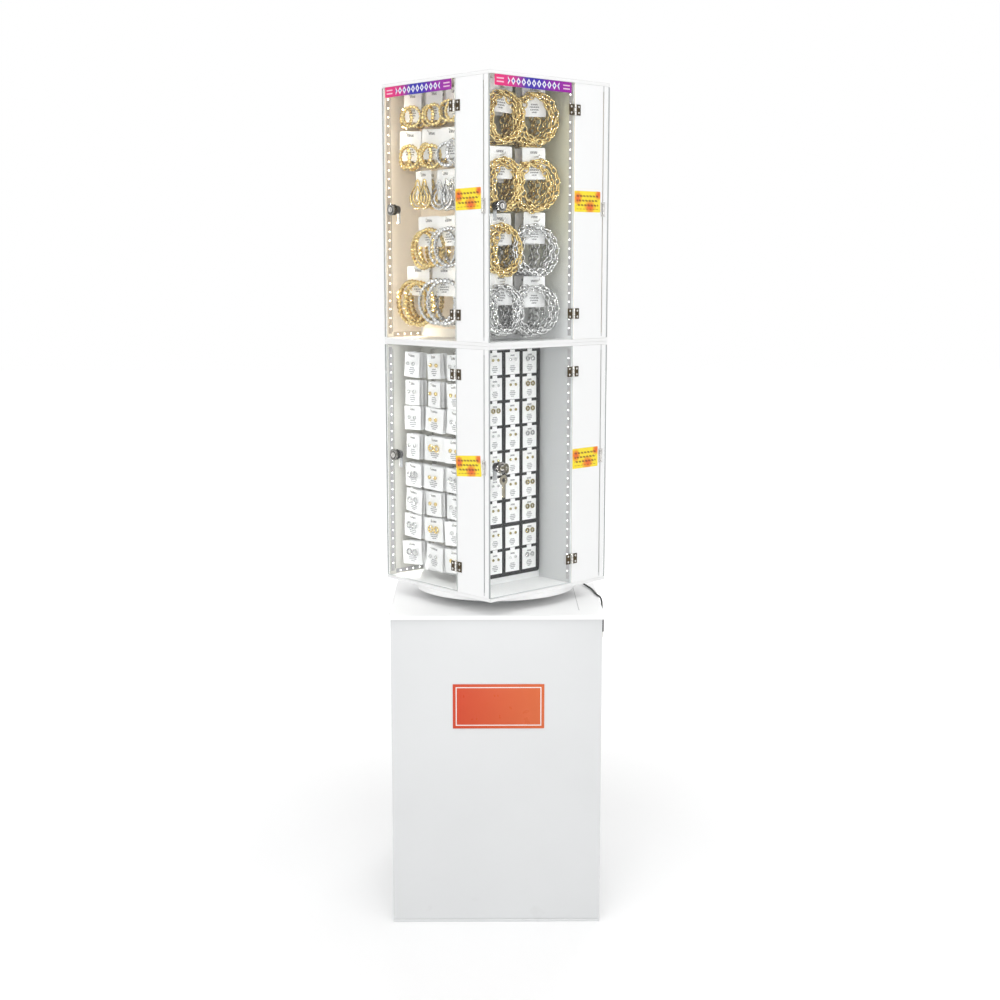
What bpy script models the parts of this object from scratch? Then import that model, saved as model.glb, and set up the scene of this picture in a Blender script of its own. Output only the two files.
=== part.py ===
"""A rotating jewelry display case: a square base, a turntable, and a two tier tower.

Each tier has four glazed bays set in a pinwheel around a hollow core, and every bay
has a hinged door with a cam lock. Metres, +Z up, origin on the floor under the
turntable's axis, front of the base towards -Y.
"""

import math

import bmesh
import bpy
from mathutils import Matrix, Vector

# Gap between pieces that touch on the real case
CLEAR = 0.0003

# Base cabinet
BASE_WIDTH = 0.400
BASE_HEIGHT = 0.612
BASE_PANEL = 0.012
BASE_BOTTOM = 0.006
BASE_TOP = 0.008
BASE_TOP_OVERHANG = 0.004

# Turntable bearing and disc
DISC_RADIUS = 0.160
DISC_THICKNESS = 0.010
RACE_RADIUS = 0.080
RACE_WIDTH = 0.036
RACE_HEIGHT = 0.005
BALL_RADIUS = 0.0035
BALL_COUNT = 12
CAGE_WIDTH = 0.012
CAGE_THICKNESS = 0.0014

# Slip ring that carries the light's supply through the turning axis
SLIP_RADIUS = 0.011
SLIP_FLANGE = 0.007
SLIP_FLANGE_THICKNESS = 0.0025
SLIP_BELOW = 0.016
SLIP_RUNNING_GAP = 0.0015

# Tower
TOWER_SIDE = 0.309
TOWER_TURN = math.radians(42.06)
LOWER_TIER = 0.476
UPPER_TIER = 0.488
BOARD = 0.006
SHEET = 0.004
BAY_DEPTH = 0.095
BEND_RADIUS = 0.003
CORE_HOLE = 0.060

# Corner post beside each door, cut free of the side wall by a slot
POST_WIDTH = 0.011
SLOT_WIDTH = 0.002
SLOT_BRIDGE = 0.010

# Doors
PANE = 0.004
PANE_GAP = 0.001

# Butt hinges, two on each door
HINGE_INSET = 0.055
HINGE_HEIGHT = 0.020
LEAF_WIDTH = 0.015
LEAF_THICKNESS = 0.0012
KNUCKLE_RADIUS = 0.0022
KNUCKLE_MIDDLE = 0.0068
PIN_RADIUS = 0.0010
LEAF_ROOT = 0.0006

# Cam locks
LOCK_SETBACK = 0.027
LOCK_HEIGHT = 0.252
BEZEL_RADIUS = 0.011
BEZEL_THICKNESS = 0.0035
BARREL_RADIUS = 0.008
PLUG_RADIUS = 0.0055
PLUG_PROUD = 0.0006
CAM_WIDTH = 0.009
CAM_TIP_GAP = 0.001

# Key left in one lock, with a spare hanging from its ring
KEY_THICKNESS = 0.0016
KEY_NECK = 0.0050
KEY_NECK_RADIUS = 0.0020
KEY_BOW_LENGTH = 0.0120
KEY_BOW_WIDTH = 0.0200
KEY_EYE_RADIUS = 0.0025
RING_RADIUS = 0.0090
RING_WIRE = 0.0008
SPARE_BOW = 0.0180
SPARE_BLADE = 0.0240
SPARE_BLADE_WIDTH = 0.0070

# Card rack at the back of two lower bays, fitted between their walls and boards
RACK_COLUMNS = 4
RACK_ROWS = 9
RACK_BAR = 0.0040
RACK_BORDER = 0.0080
RACK_BACK = 0.0020
RACK_FRONT = 0.0025
RACK_LEFT_GAP = 0.0116
RACK_SIDE_GAP = 0.0040
RACK_FLOOR_GAP = 0.0136
RACK_ROOF_GAP = 0.0028

# Supply lead on the base, from its grommet to its connector
LEAD_DIAMETER = 0.0035
GROMMET_SIDE_INSET = 0.048
GROMMET_BACK_INSET = 0.082
GROMMET_BORE_RADIUS = 0.0050
GROMMET_FLANGE_RADIUS = 0.0085
GROMMET_FLANGE_THICKNESS = 0.0025
GROMMET_NOSE = 0.0035
GROMMET_NOSE_HEIGHT = 0.0023
GROMMET_BELOW = 0.010
CONNECTOR_RADIUS = 0.0040
CONNECTOR_LENGTH = 0.038
CONNECTOR_NOSE = 0.012

# Route of the lead after it leaves the grommet, in world coordinates
LEAD_ROUTE = [
    (0.1520, 0.1180, 0.6174),
    (0.1520, 0.1180, 0.6232),
    (0.1545, 0.1147, 0.6288),
    (0.1612, 0.1058, 0.6296),
    (0.1704, 0.0905, 0.6226),
    (0.1790, 0.0690, 0.6158),
    (0.1868, 0.0450, 0.6146),
    (0.1936, 0.0200, 0.6146),
    (0.1980, -0.0100, 0.6146),
    (0.2008, -0.0350, 0.6146),
    (0.2060, -0.0540, 0.6140),
    (0.2086, -0.0640, 0.6086),
    (0.2090, -0.0700, 0.5990),
    (0.2090, -0.0712, 0.5930),
    (0.2090, -0.0712, 0.5860),
]
LEAD_STEP = 2.0

ROUND_SIDES = 16
KNUCKLE_SIDES = 12
RING_SIDES = 64
SMOOTH_ANGLE = math.radians(40)

# Places worked out from the sizes above
HALF = TOWER_SIDE / 2
LOWER_RACE_TOP = BASE_HEIGHT + CLEAR + RACE_HEIGHT
BALL_LEVEL = LOWER_RACE_TOP + CLEAR + BALL_RADIUS
UPPER_RACE_BOTTOM = BALL_LEVEL + BALL_RADIUS + CLEAR
DISC_BOTTOM = UPPER_RACE_BOTTOM + RACE_HEIGHT
TOWER_BOTTOM = DISC_BOTTOM + DISC_THICKNESS + CLEAR
UPPER_BOTTOM = TOWER_BOTTOM + LOWER_TIER + CLEAR
TIERS = {"lower": (TOWER_BOTTOM, LOWER_TIER), "upper": (UPPER_BOTTOM, UPPER_TIER)}
BAYS = (1, 2, 3, 4)

# The bay frame has its door on the face y = -HALF, from x = -HALF to the hinge
HINGE_X = HALF - BAY_DEPTH - PANE_GAP / 2
AXIS_STANDOFF = KNUCKLE_RADIUS + CLEAR
HINGE_Y = -HALF - AXIS_STANDOFF
POST_FRONT = PANE + PANE_GAP
SLOT_FRONT = POST_FRONT + POST_WIDTH
SLOT_BACK = SLOT_FRONT + SLOT_WIDTH
LOCK_X = -HALF + LOCK_SETBACK
RACK_WIDTH = TOWER_SIDE - BAY_DEPTH - SHEET - RACK_LEFT_GAP - RACK_SIDE_GAP
RACK_HEIGHT = LOWER_TIER - 2 * BOARD - RACK_FLOOR_GAP - RACK_ROOF_GAP
POCKET_WIDTH = (RACK_WIDTH - 2 * RACK_BORDER - (RACK_COLUMNS - 1) * RACK_BAR) / RACK_COLUMNS
POCKET_HEIGHT = (RACK_HEIGHT - 2 * RACK_BORDER - (RACK_ROWS - 1) * RACK_BAR) / RACK_ROWS
GROMMET_PLACE = (BASE_WIDTH / 2 - GROMMET_SIDE_INSET, BASE_WIDTH / 2 - GROMMET_BACK_INSET)

MATERIALS = {
    "white_laminate": ((0.86, 0.87, 0.87), 0.35, 0.0),
    "white_acrylic": ((0.90, 0.90, 0.89), 0.18, 0.0),
    "clear_acrylic": ((0.93, 0.96, 0.97), 0.05, 0.0),
    "bronze": ((0.20, 0.14, 0.08), 0.38, 0.9),
    "nickel": ((0.62, 0.61, 0.58), 0.25, 1.0),
    "bearing_steel": ((0.45, 0.46, 0.47), 0.35, 1.0),
    "black_plastic": ((0.02, 0.02, 0.02), 0.45, 0.0),
    "black_rubber": ((0.015, 0.015, 0.015), 0.60, 0.0),
}


def clear_scene():
    for obj in list(bpy.data.objects):
        bpy.data.objects.remove(obj)


def make_material(name):
    colour, roughness, metallic = MATERIALS[name]
    found = bpy.data.materials.get(name)
    if found:
        return found
    made = bpy.data.materials.new(name)
    made.use_nodes = True
    shader = made.node_tree.nodes["Principled BSDF"]
    shader.inputs["Base Color"].default_value = (*colour, 1.0)
    shader.inputs["Roughness"].default_value = roughness
    shader.inputs["Metallic"].default_value = metallic
    return made


def empty(name, parent=None, turn=0.0):
    guide = bpy.data.objects.new(name, None)
    bpy.context.collection.objects.link(guide)
    guide.parent = parent
    guide.rotation_euler.z = turn
    return guide


def place(name, mesh, material, parent=None, location=(0, 0, 0)):
    """Put one named piece in the scene, on its parent's frame."""
    if not mesh.materials:
        mesh.materials.append(make_material(material))
    obj = bpy.data.objects.new(name, mesh)
    bpy.context.collection.objects.link(obj)
    obj.parent = parent
    obj.location = location
    return obj


def to_mesh(shape, name, smooth=False):
    bmesh.ops.recalc_face_normals(shape, faces=shape.faces)
    mesh = bpy.data.meshes.new(name)
    shape.to_mesh(mesh)
    shape.free()
    if smooth:
        mesh.shade_smooth()
        mesh.set_sharp_from_angle(angle=SMOOTH_ANGLE)
    return mesh


def box(low, high):
    low, high = Vector(low), Vector(high)
    size = Matrix.Diagonal((*(high - low), 1.0))
    shape = bmesh.new()
    bmesh.ops.create_cube(shape, size=1.0, matrix=Matrix.Translation((low + high) / 2) @ size)
    return shape


def rod(radius, start, end, sides=ROUND_SIDES):
    """A closed cylinder between two points."""
    start, end = Vector(start), Vector(end)
    along = end - start
    turn = Vector((0, 0, 1)).rotation_difference(along).to_matrix().to_4x4()
    shape = bmesh.new()
    bmesh.ops.create_cone(
        shape, cap_ends=True, segments=sides, radius1=radius, radius2=radius,
        depth=along.length, matrix=Matrix.Translation((start + end) / 2) @ turn,
    )
    return shape


def turned(profile, sides=RING_SIDES):
    """Spin a closed outline of (radius, height) points round the Z axis."""
    shape = bmesh.new()
    rim = [shape.verts.new((radius, 0.0, height)) for radius, height in profile]
    edges = [shape.edges.new((rim[i - 1], rim[i])) for i in range(len(rim))]
    bmesh.ops.spin(
        shape, geom=rim + edges, axis=(0, 0, 1), cent=(0, 0, 0), steps=sides, angle=math.tau
    )
    bmesh.ops.remove_doubles(shape, verts=shape.verts, dist=1e-6)
    return shape


def combine(shapes, cuts=(), smooth=False, name="piece"):
    """Join shapes into one body and cut others out of it, all in the same frame."""
    body = bpy.data.objects.new(name, to_mesh(shapes[0], name))
    bpy.context.collection.objects.link(body)
    steps = [(shape, "UNION") for shape in shapes[1:]] + [(cut, "DIFFERENCE") for cut in cuts]
    tools = []
    for shape, operation in steps:
        tool = bpy.data.objects.new(name + "_tool", to_mesh(shape, name + "_tool"))
        bpy.context.collection.objects.link(tool)
        tool.hide_render = True
        tool.display_type = "WIRE"
        modifier = body.modifiers.new(operation, "BOOLEAN")
        modifier.operation = operation
        modifier.object = tool
        tools.append(tool)
    bpy.context.view_layer.update()
    depsgraph = bpy.context.evaluated_depsgraph_get()
    mesh = bpy.data.meshes.new_from_object(body.evaluated_get(depsgraph))
    for obj in [body] + tools:
        bpy.data.objects.remove(obj)
    if smooth:
        mesh.shade_smooth()
        mesh.set_sharp_from_angle(angle=SMOOTH_ANGLE)
    return mesh


# Base cabinet
def build_base():
    half = BASE_WIDTH / 2
    inner = half - BASE_PANEL
    low = BASE_BOTTOM + CLEAR
    high = BASE_HEIGHT - BASE_TOP - CLEAR
    reach = inner - CLEAR
    lip = half + BASE_TOP_OVERHANG
    boards = {
        "base_bottom_board": ((-half, -half, 0), (half, half, BASE_BOTTOM)),
        "base_front_panel": ((-half, -half, low), (half, -inner, high)),
        "base_back_panel": ((-half, inner, low), (half, half, high)),
        "base_left_panel": ((-half, -reach, low), (-inner, reach, high)),
        "base_right_panel": ((inner, -reach, low), (half, reach, high)),
    }
    for name, (start, end) in boards.items():
        place(name, to_mesh(box(start, end), name), "white_laminate")

    under, over = BASE_HEIGHT - 2 * BASE_TOP, BASE_HEIGHT + BASE_TOP
    x, y = GROMMET_PLACE
    top = combine(
        [box((-lip, -lip, BASE_HEIGHT - BASE_TOP), (lip, lip, BASE_HEIGHT))],
        cuts=[
            rod(SLIP_RADIUS + CLEAR, (0, 0, under), (0, 0, over)),
            rod(GROMMET_BORE_RADIUS, (x, y, under), (x, y, over)),
        ],
    )
    place("base_top_board", top, "white_laminate")


# Turntable
def build_turntable(tower):
    inner, outer = RACE_RADIUS - RACE_WIDTH / 2, RACE_RADIUS + RACE_WIDTH / 2
    seat = BASE_HEIGHT + CLEAR
    lower = turned([(inner, seat), (outer, seat), (outer, LOWER_RACE_TOP), (inner, LOWER_RACE_TOP)])
    place("bearing_lower_ring", to_mesh(lower, "lower_ring", True), "bearing_steel")

    bore = SLIP_RADIUS + SLIP_RUNNING_GAP
    top = DISC_BOTTOM + DISC_THICKNESS
    disc = turned([
        (bore, DISC_BOTTOM), (inner, DISC_BOTTOM), (inner, UPPER_RACE_BOTTOM),
        (outer, UPPER_RACE_BOTTOM), (outer, DISC_BOTTOM), (DISC_RADIUS, DISC_BOTTOM),
        (DISC_RADIUS, top), (bore, top),
    ])
    place("turntable_disc", to_mesh(disc, "disc", True), "white_acrylic", tower)

    near, far = RACE_RADIUS - CAGE_WIDTH / 2, RACE_RADIUS + CAGE_WIDTH / 2
    thin = CAGE_THICKNESS / 2
    cage = turned([
        (near, BALL_LEVEL - thin), (far, BALL_LEVEL - thin),
        (far, BALL_LEVEL + thin), (near, BALL_LEVEL + thin),
    ])
    balls = bmesh.new()
    for i in range(BALL_COUNT):
        angle = math.tau * (i + 0.5) / BALL_COUNT
        spot = (RACE_RADIUS * math.cos(angle), RACE_RADIUS * math.sin(angle), BALL_LEVEL)
        bmesh.ops.create_uvsphere(
            balls, u_segments=8, v_segments=6, radius=BALL_RADIUS, matrix=Matrix.Translation(spot)
        )
    place("bearing_ball_cage", combine([cage, balls], smooth=True), "bearing_steel")

    flange = SLIP_RADIUS + SLIP_FLANGE
    slip = turned([
        (0, BASE_HEIGHT - SLIP_BELOW), (SLIP_RADIUS, BASE_HEIGHT - SLIP_BELOW), (SLIP_RADIUS, seat),
        (flange, seat), (flange, seat + SLIP_FLANGE_THICKNESS),
        (SLIP_RADIUS, seat + SLIP_FLANGE_THICKNESS), (SLIP_RADIUS, DISC_BOTTOM + DISC_THICKNESS),
        (0, DISC_BOTTOM + DISC_THICKNESS),
    ], ROUND_SIDES)
    place("slip_ring", to_mesh(slip, "slip_ring", True), "black_plastic")


# Supply lead
def smooth_route(points, spacing):
    """Points at an even spacing on a Catmull-Rom curve through the route."""
    route = [Vector(p) for p in points]
    route = [2 * route[0] - route[1]] + route + [2 * route[-1] - route[-2]]
    dense = []
    for a, b, c, d in zip(route, route[1:], route[2:], route[3:]):
        for i in range(40):
            t = i / 40
            dense.append(0.5 * (
                2 * b + (c - a) * t + (2 * a - 5 * b + 4 * c - d) * t ** 2
                + (3 * b - a - 3 * c + d) * t ** 3
            ))
    dense.append(route[-2])
    travelled = [0.0]
    for a, b in zip(dense, dense[1:]):
        travelled.append(travelled[-1] + (b - a).length)
    count = round(travelled[-1] / spacing)
    picked = []
    for i in range(count + 1):
        wanted = travelled[-1] * i / count
        nearest = min(range(len(dense)), key=lambda k: abs(travelled[k] - wanted))
        picked.append(dense[nearest])
    return picked, travelled[-1]


def build_lead():
    x, y = GROMMET_PLACE
    seat = BASE_HEIGHT + CLEAR
    shank = GROMMET_BORE_RADIUS - CLEAR
    crown = seat + GROMMET_FLANGE_THICKNESS
    nose = crown + GROMMET_NOSE_HEIGHT
    grommet = turned([
        (0, BASE_HEIGHT - BASE_TOP - GROMMET_BELOW), (shank, BASE_HEIGHT - BASE_TOP - GROMMET_BELOW),
        (shank, seat), (GROMMET_FLANGE_RADIUS, seat), (GROMMET_FLANGE_RADIUS, crown),
        (GROMMET_NOSE, crown), (LEAD_DIAMETER / 2, nose), (0, nose),
    ], ROUND_SIDES)
    place("lead_grommet", to_mesh(grommet, "grommet", True), "black_rubber", location=(x, y, 0))

    points, length = smooth_route(LEAD_ROUTE, LEAD_STEP * LEAD_DIAMETER)
    curve = bpy.data.curves.new("power_lead", "CURVE")
    curve.dimensions = "3D"
    curve.bevel_depth = LEAD_DIAMETER / 2
    curve.bevel_resolution = 2
    curve.use_fill_caps = True
    spline = curve.splines.new("POLY")
    spline.points.add(len(points) - 1)
    for point, spot in zip(spline.points, points):
        point.co = (*spot, 1.0)
    curve.materials.append(make_material("black_rubber"))
    lead = bpy.data.objects.new("power_lead", curve)
    bpy.context.collection.objects.link(lead)
    print(f"power lead length {length:.4f} m")

    x, y, z = LEAD_ROUTE[-1]
    top = -CLEAR
    shoulder = top - CONNECTOR_NOSE
    foot = top - CONNECTOR_NOSE - CONNECTOR_LENGTH
    connector = turned([
        (0, foot), (CONNECTOR_RADIUS, foot), (CONNECTOR_RADIUS, shoulder),
        (LEAD_DIAMETER / 2, top), (0, top),
    ], ROUND_SIDES)
    place("lead_connector", to_mesh(connector, "connector", True), "black_plastic", location=(x, y, z))


# Tower boards and walls
def build_boards(tower):
    for tier, (bottom, height) in TIERS.items():
        levels = {"floor": bottom, "roof": bottom + height - BOARD}
        for name, low in levels.items():
            high = low + BOARD
            shapes = [box((-HALF, -HALF, low), (HALF, HALF, high))]
            cuts = []
            if (tier, name) != ("upper", "roof"):
                hole = CORE_HOLE / 2
                cuts = [box((-hole, -hole, low - BOARD), (hole, hole, high + BOARD))]
            place(f"{tier}_{name}_board", combine(shapes, cuts), "white_acrylic", tower)


def wall_mesh(height):
    """One heat bent sheet: a side wall on the left face, and the bay's back."""
    low, high = BOARD + CLEAR, height - BOARD - CLEAR
    front, back = -HALF + POST_FRONT, -HALF + BAY_DEPTH
    outline = [
        (-HALF, front), (-HALF + SHEET, front), (-HALF + SHEET, back - SHEET),
        (HALF - BAY_DEPTH - CLEAR, back - SHEET), (HALF - BAY_DEPTH - CLEAR, back), (-HALF, back),
    ]
    sheet = bmesh.new()
    face = sheet.faces.new([sheet.verts.new((x, y, low)) for x, y in outline])
    grown = bmesh.ops.extrude_face_region(sheet, geom=[face])["geom"]
    raised = [part for part in grown if isinstance(part, bmesh.types.BMVert)]
    bmesh.ops.translate(sheet, verts=raised, vec=(0, 0, high - low))
    bend = [
        edge for edge in sheet.edges
        if all(abs(v.co.x + HALF) < 1e-6 and abs(v.co.y - back) < 1e-6 for v in edge.verts)
    ]
    bmesh.ops.bevel(sheet, geom=bend, offset=BEND_RADIUS, segments=3, profile=0.5, affect="EDGES")
    slot = box(
        (-HALF - SHEET, -HALF + SLOT_FRONT, low + SLOT_BRIDGE),
        (-HALF + 2 * SHEET, -HALF + SLOT_BACK, high - SLOT_BRIDGE),
    )
    return combine([sheet], [slot])


# Hinges
def hinge_mesh():
    """The leaf on the wall with its two knuckles and the pin; origin at the pin's middle."""
    half, middle = HINGE_HEIGHT / 2, KNUCKLE_MIDDLE / 2
    front = AXIS_STANDOFF - CLEAR - LEAF_THICKNESS
    back = AXIS_STANDOFF - CLEAR
    side = KNUCKLE_RADIUS + LEAF_ROOT
    shapes = [box((side, front, -half), (LEAF_WIDTH, back, half))]
    for low, high in ((-half, -middle - CLEAR), (middle + CLEAR, half)):
        shapes.append(box((0, front, low), (side + LEAF_ROOT, back, high)))
        shapes.append(rod(KNUCKLE_RADIUS, (0, 0, low), (0, 0, high), KNUCKLE_SIDES))
    shapes.append(rod(PIN_RADIUS, (0, 0, -half + CLEAR), (0, 0, half - CLEAR), KNUCKLE_SIDES))
    return combine(shapes, smooth=True)


# Doors
def door_mesh(height):
    """A clear pane with its hinge leaves and lock housing; origin on the hinge axis."""
    left = -HALF - HINGE_X
    right = -PANE_GAP / 2
    front, back = AXIS_STANDOFF, AXIS_STANDOFF + PANE
    low, high = BOARD + PANE_GAP, height - BOARD - PANE_GAP
    shapes = [box((left, front, low), (right, back, high))]
    cuts = []

    middle = KNUCKLE_MIDDLE / 2
    face = AXIS_STANDOFF - CLEAR - LEAF_THICKNESS
    seat = front + LEAF_ROOT
    side = KNUCKLE_RADIUS + LEAF_ROOT
    for level in (HINGE_INSET, height - HINGE_INSET):
        bottom, top = level - HINGE_HEIGHT / 2, level + HINGE_HEIGHT / 2
        tab = AXIS_STANDOFF - CLEAR
        shapes.append(box((-LEAF_WIDTH, face, bottom), (-side, seat, top)))
        shapes.append(box((-side - LEAF_ROOT, face, level - middle), (0, tab, level + middle)))
        shapes.append(rod(KNUCKLE_RADIUS, (0, 0, level - middle), (0, 0, level + middle), KNUCKLE_SIDES))
        reach = HINGE_HEIGHT / 2
        cuts.append(rod(PIN_RADIUS + CLEAR, (0, 0, level - reach), (0, 0, level + reach), KNUCKLE_SIDES))

    x = LOCK_X - HINGE_X
    inside = AXIS_STANDOFF + SLOT_FRONT
    shapes.append(rod(BEZEL_RADIUS, (x, front - BEZEL_THICKNESS, LOCK_HEIGHT), (x, seat, LOCK_HEIGHT)))
    shapes.append(rod(BARREL_RADIUS, (x, front, LOCK_HEIGHT), (x, inside, LOCK_HEIGHT)))
    cuts.append(rod(PLUG_RADIUS + CLEAR, (x, front - BARREL_RADIUS, LOCK_HEIGHT),
                    (x, inside + BARREL_RADIUS, LOCK_HEIGHT)))
    return combine(shapes, cuts, smooth=True)


# Locks
def plug_mesh(with_key):
    """The turning plug with its cam hanging down; origin on the face plane, on the lock's axis."""
    front = -BEZEL_THICKNESS - PLUG_PROUD
    start, end = SLOT_FRONT + CLEAR, SLOT_BACK - CLEAR
    half = CAM_WIDTH / 2
    reach = LOCK_SETBACK - CAM_TIP_GAP
    shapes = [
        rod(PLUG_RADIUS, (0, front, 0), (0, (start + end) / 2, 0)),
        box((-half, start, -reach), (half, end, half)),
    ]
    if not with_key:
        return combine(shapes, smooth=True)
    thin = KEY_THICKNESS / 2
    neck = front - KEY_NECK
    bow = neck - KEY_BOW_LENGTH
    middle = (neck + bow) / 2
    shapes.append(rod(KEY_NECK_RADIUS, (0, neck - thin, 0), (0, front + PLUG_RADIUS, 0)))
    shapes.append(box((-thin, bow, -KEY_BOW_WIDTH / 2), (thin, neck, KEY_BOW_WIDTH / 2)))
    eye = rod(KEY_EYE_RADIUS, (-KEY_NECK, middle, 0), (KEY_NECK, middle, 0))
    return combine(shapes, [eye], smooth=True)


def key_ring_mesh():
    """A split ring hanging on the key's neck, with the spare key hanging from it."""
    depth = -BEZEL_THICKNESS - PLUG_PROUD - KEY_NECK / 2
    centre = KEY_NECK_RADIUS + CLEAR + RING_WIRE - RING_RADIUS
    ring = turned([
        (RING_RADIUS + RING_WIRE * math.cos(a), RING_WIRE * math.sin(a))
        for a in (math.tau * i / 6 for i in range(6))
    ], 24)
    upright = Matrix.Translation((0, depth, centre)) @ Matrix.Rotation(math.pi / 2, 4, "X")
    bmesh.ops.transform(ring, matrix=upright, verts=ring.verts)
    thin = KEY_THICKNESS / 2
    top = centre - RING_RADIUS
    low = top - SPARE_BOW
    bow = box((-SPARE_BOW / 2, depth - thin, low), (SPARE_BOW / 2, depth + thin, top))
    blade = box((-SPARE_BLADE_WIDTH / 2, depth - thin, low - SPARE_BLADE),
                (SPARE_BLADE_WIDTH / 2, depth + thin, low + thin))
    return combine([ring, bow, blade], smooth=True)


# Card rack
def rack_mesh():
    """A black pocket rack; origin on the tier's bottom, in the bay frame."""
    right = HALF - BAY_DEPTH - RACK_SIDE_GAP
    left = right - RACK_WIDTH
    back = -HALF + BAY_DEPTH - SHEET - CLEAR
    face = back - RACK_BACK
    low = BOARD + RACK_FLOOR_GAP
    block = box((left, face - RACK_FRONT, low), (right, back, low + RACK_HEIGHT))
    pockets = bmesh.new()
    for row in range(RACK_ROWS):
        for column in range(RACK_COLUMNS):
            x = left + RACK_BORDER + column * (POCKET_WIDTH + RACK_BAR)
            z = low + RACK_BORDER + row * (POCKET_HEIGHT + RACK_BAR)
            centre = Vector((x + POCKET_WIDTH / 2, face - RACK_FRONT, z + POCKET_HEIGHT / 2))
            size = Matrix.Diagonal((POCKET_WIDTH, 2 * RACK_FRONT, POCKET_HEIGHT, 1.0))
            bmesh.ops.create_cube(pockets, size=1.0, matrix=Matrix.Translation(centre) @ size)
    return combine([block], [pockets])


def build_bays(tower):
    frames = {bay: empty(f"bay_{bay}", tower, (bay - 1) * math.pi / 2) for bay in BAYS}
    hinge = hinge_mesh()
    plug = plug_mesh(False)
    key_plug = plug_mesh(True)
    rack = rack_mesh()
    for tier, (bottom, height) in TIERS.items():
        wall = wall_mesh(height)
        door = door_mesh(height)
        for bay in BAYS:
            frame = frames[bay]
            place(f"{tier}_wall_{bay}", wall, "white_acrylic", frame, (0, 0, bottom))
            place(f"{tier}_door_{bay}", door, "clear_acrylic", frame, (HINGE_X, HINGE_Y, bottom))
            for end, level in (("bottom", HINGE_INSET), ("top", height - HINGE_INSET)):
                spot = (HINGE_X, HINGE_Y, bottom + level)
                place(f"{tier}_hinge_{bay}_{end}", hinge, "bronze", frame, spot)
            keyed = (tier, bay) == ("lower", 1)
            spot = (LOCK_X, -HALF, bottom + LOCK_HEIGHT)
            place(f"{tier}_lock_{bay}", key_plug if keyed else plug, "nickel", frame, spot)
            if keyed:
                place("key_ring", key_ring_mesh(), "nickel", frame, spot)
            if tier == "lower" and bay % 2 == 1:
                place(f"card_rack_{bay}", rack, "black_plastic", frame, (0, 0, bottom))


def main():
    clear_scene()
    tower = empty("tower_axis", turn=TOWER_TURN)
    build_base()
    build_turntable(tower)
    build_lead()
    build_boards(tower)
    build_bays(tower)


main()
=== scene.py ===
import math
import random

import bpy
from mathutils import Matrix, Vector


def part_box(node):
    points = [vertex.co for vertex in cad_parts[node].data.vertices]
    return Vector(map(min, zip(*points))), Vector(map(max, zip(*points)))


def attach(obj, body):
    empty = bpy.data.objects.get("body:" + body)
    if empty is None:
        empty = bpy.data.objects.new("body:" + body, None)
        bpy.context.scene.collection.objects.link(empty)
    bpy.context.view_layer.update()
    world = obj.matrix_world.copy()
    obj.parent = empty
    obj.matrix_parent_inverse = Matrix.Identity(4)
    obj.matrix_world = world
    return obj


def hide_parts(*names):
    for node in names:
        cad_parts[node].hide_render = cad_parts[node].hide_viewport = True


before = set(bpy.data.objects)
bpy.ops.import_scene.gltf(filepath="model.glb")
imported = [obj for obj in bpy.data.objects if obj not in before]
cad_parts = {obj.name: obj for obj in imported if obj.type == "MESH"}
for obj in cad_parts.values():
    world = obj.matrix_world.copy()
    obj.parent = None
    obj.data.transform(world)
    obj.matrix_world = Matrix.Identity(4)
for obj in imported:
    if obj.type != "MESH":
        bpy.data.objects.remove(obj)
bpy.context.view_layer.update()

rng = random.Random(11)


# camera at the photograph's angle
view = {
    "place": (-0.0184, -2.9168, 1.2630),
    "tilt": 90 - 9.023,
    "pan": -0.531,
    "lens": 53.265,
    "sensor": 36,
}
camData = bpy.data.cameras.new("photoCamera")
camData.lens = view["lens"]
camData.sensor_width = view["sensor"]
cam = bpy.data.objects.new("photoCamera", camData)
cam.location = view["place"]
cam.rotation_euler = (math.radians(view["tilt"]), 0, math.radians(view["pan"]))
bpy.context.scene.collection.objects.link(cam)
bpy.context.scene.camera = cam
bpy.context.scene.view_settings.view_transform = "Standard"
print("camera placed")


# shader values that take plain maths
class Wire:
    def __init__(self, nodes, socket):
        self.nodes = nodes
        self.socket = socket

    def calc(self, operation, *others):
        values = dict(enumerate((self,) + others))
        return self.nodes.add("ShaderNodeMath", {"operation": operation}, values)

    def __add__(self, other):
        return self.calc("ADD", other)

    def __mul__(self, other):
        return self.calc("MULTIPLY", other)

    __radd__, __rmul__ = __add__, __mul__

    def __sub__(self, other):
        return self.calc("SUBTRACT", other)

    def __rsub__(self, other):
        return self.nodes.add("ShaderNodeMath", {"operation": "SUBTRACT"}, {0: other, 1: self})

    def __gt__(self, other):
        return self.calc("GREATER_THAN", other)

    def __lt__(self, other):
        return self.calc("LESS_THAN", other)

    def __abs__(self):
        return self.calc("ABSOLUTE")

    def either(self, other):
        return self.calc("MAXIMUM", other)

    def part(self):
        return self.calc("FRACT")


seenRays = ("Is Camera Ray", "Is Glossy Ray", "Is Transmission Ray")


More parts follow.
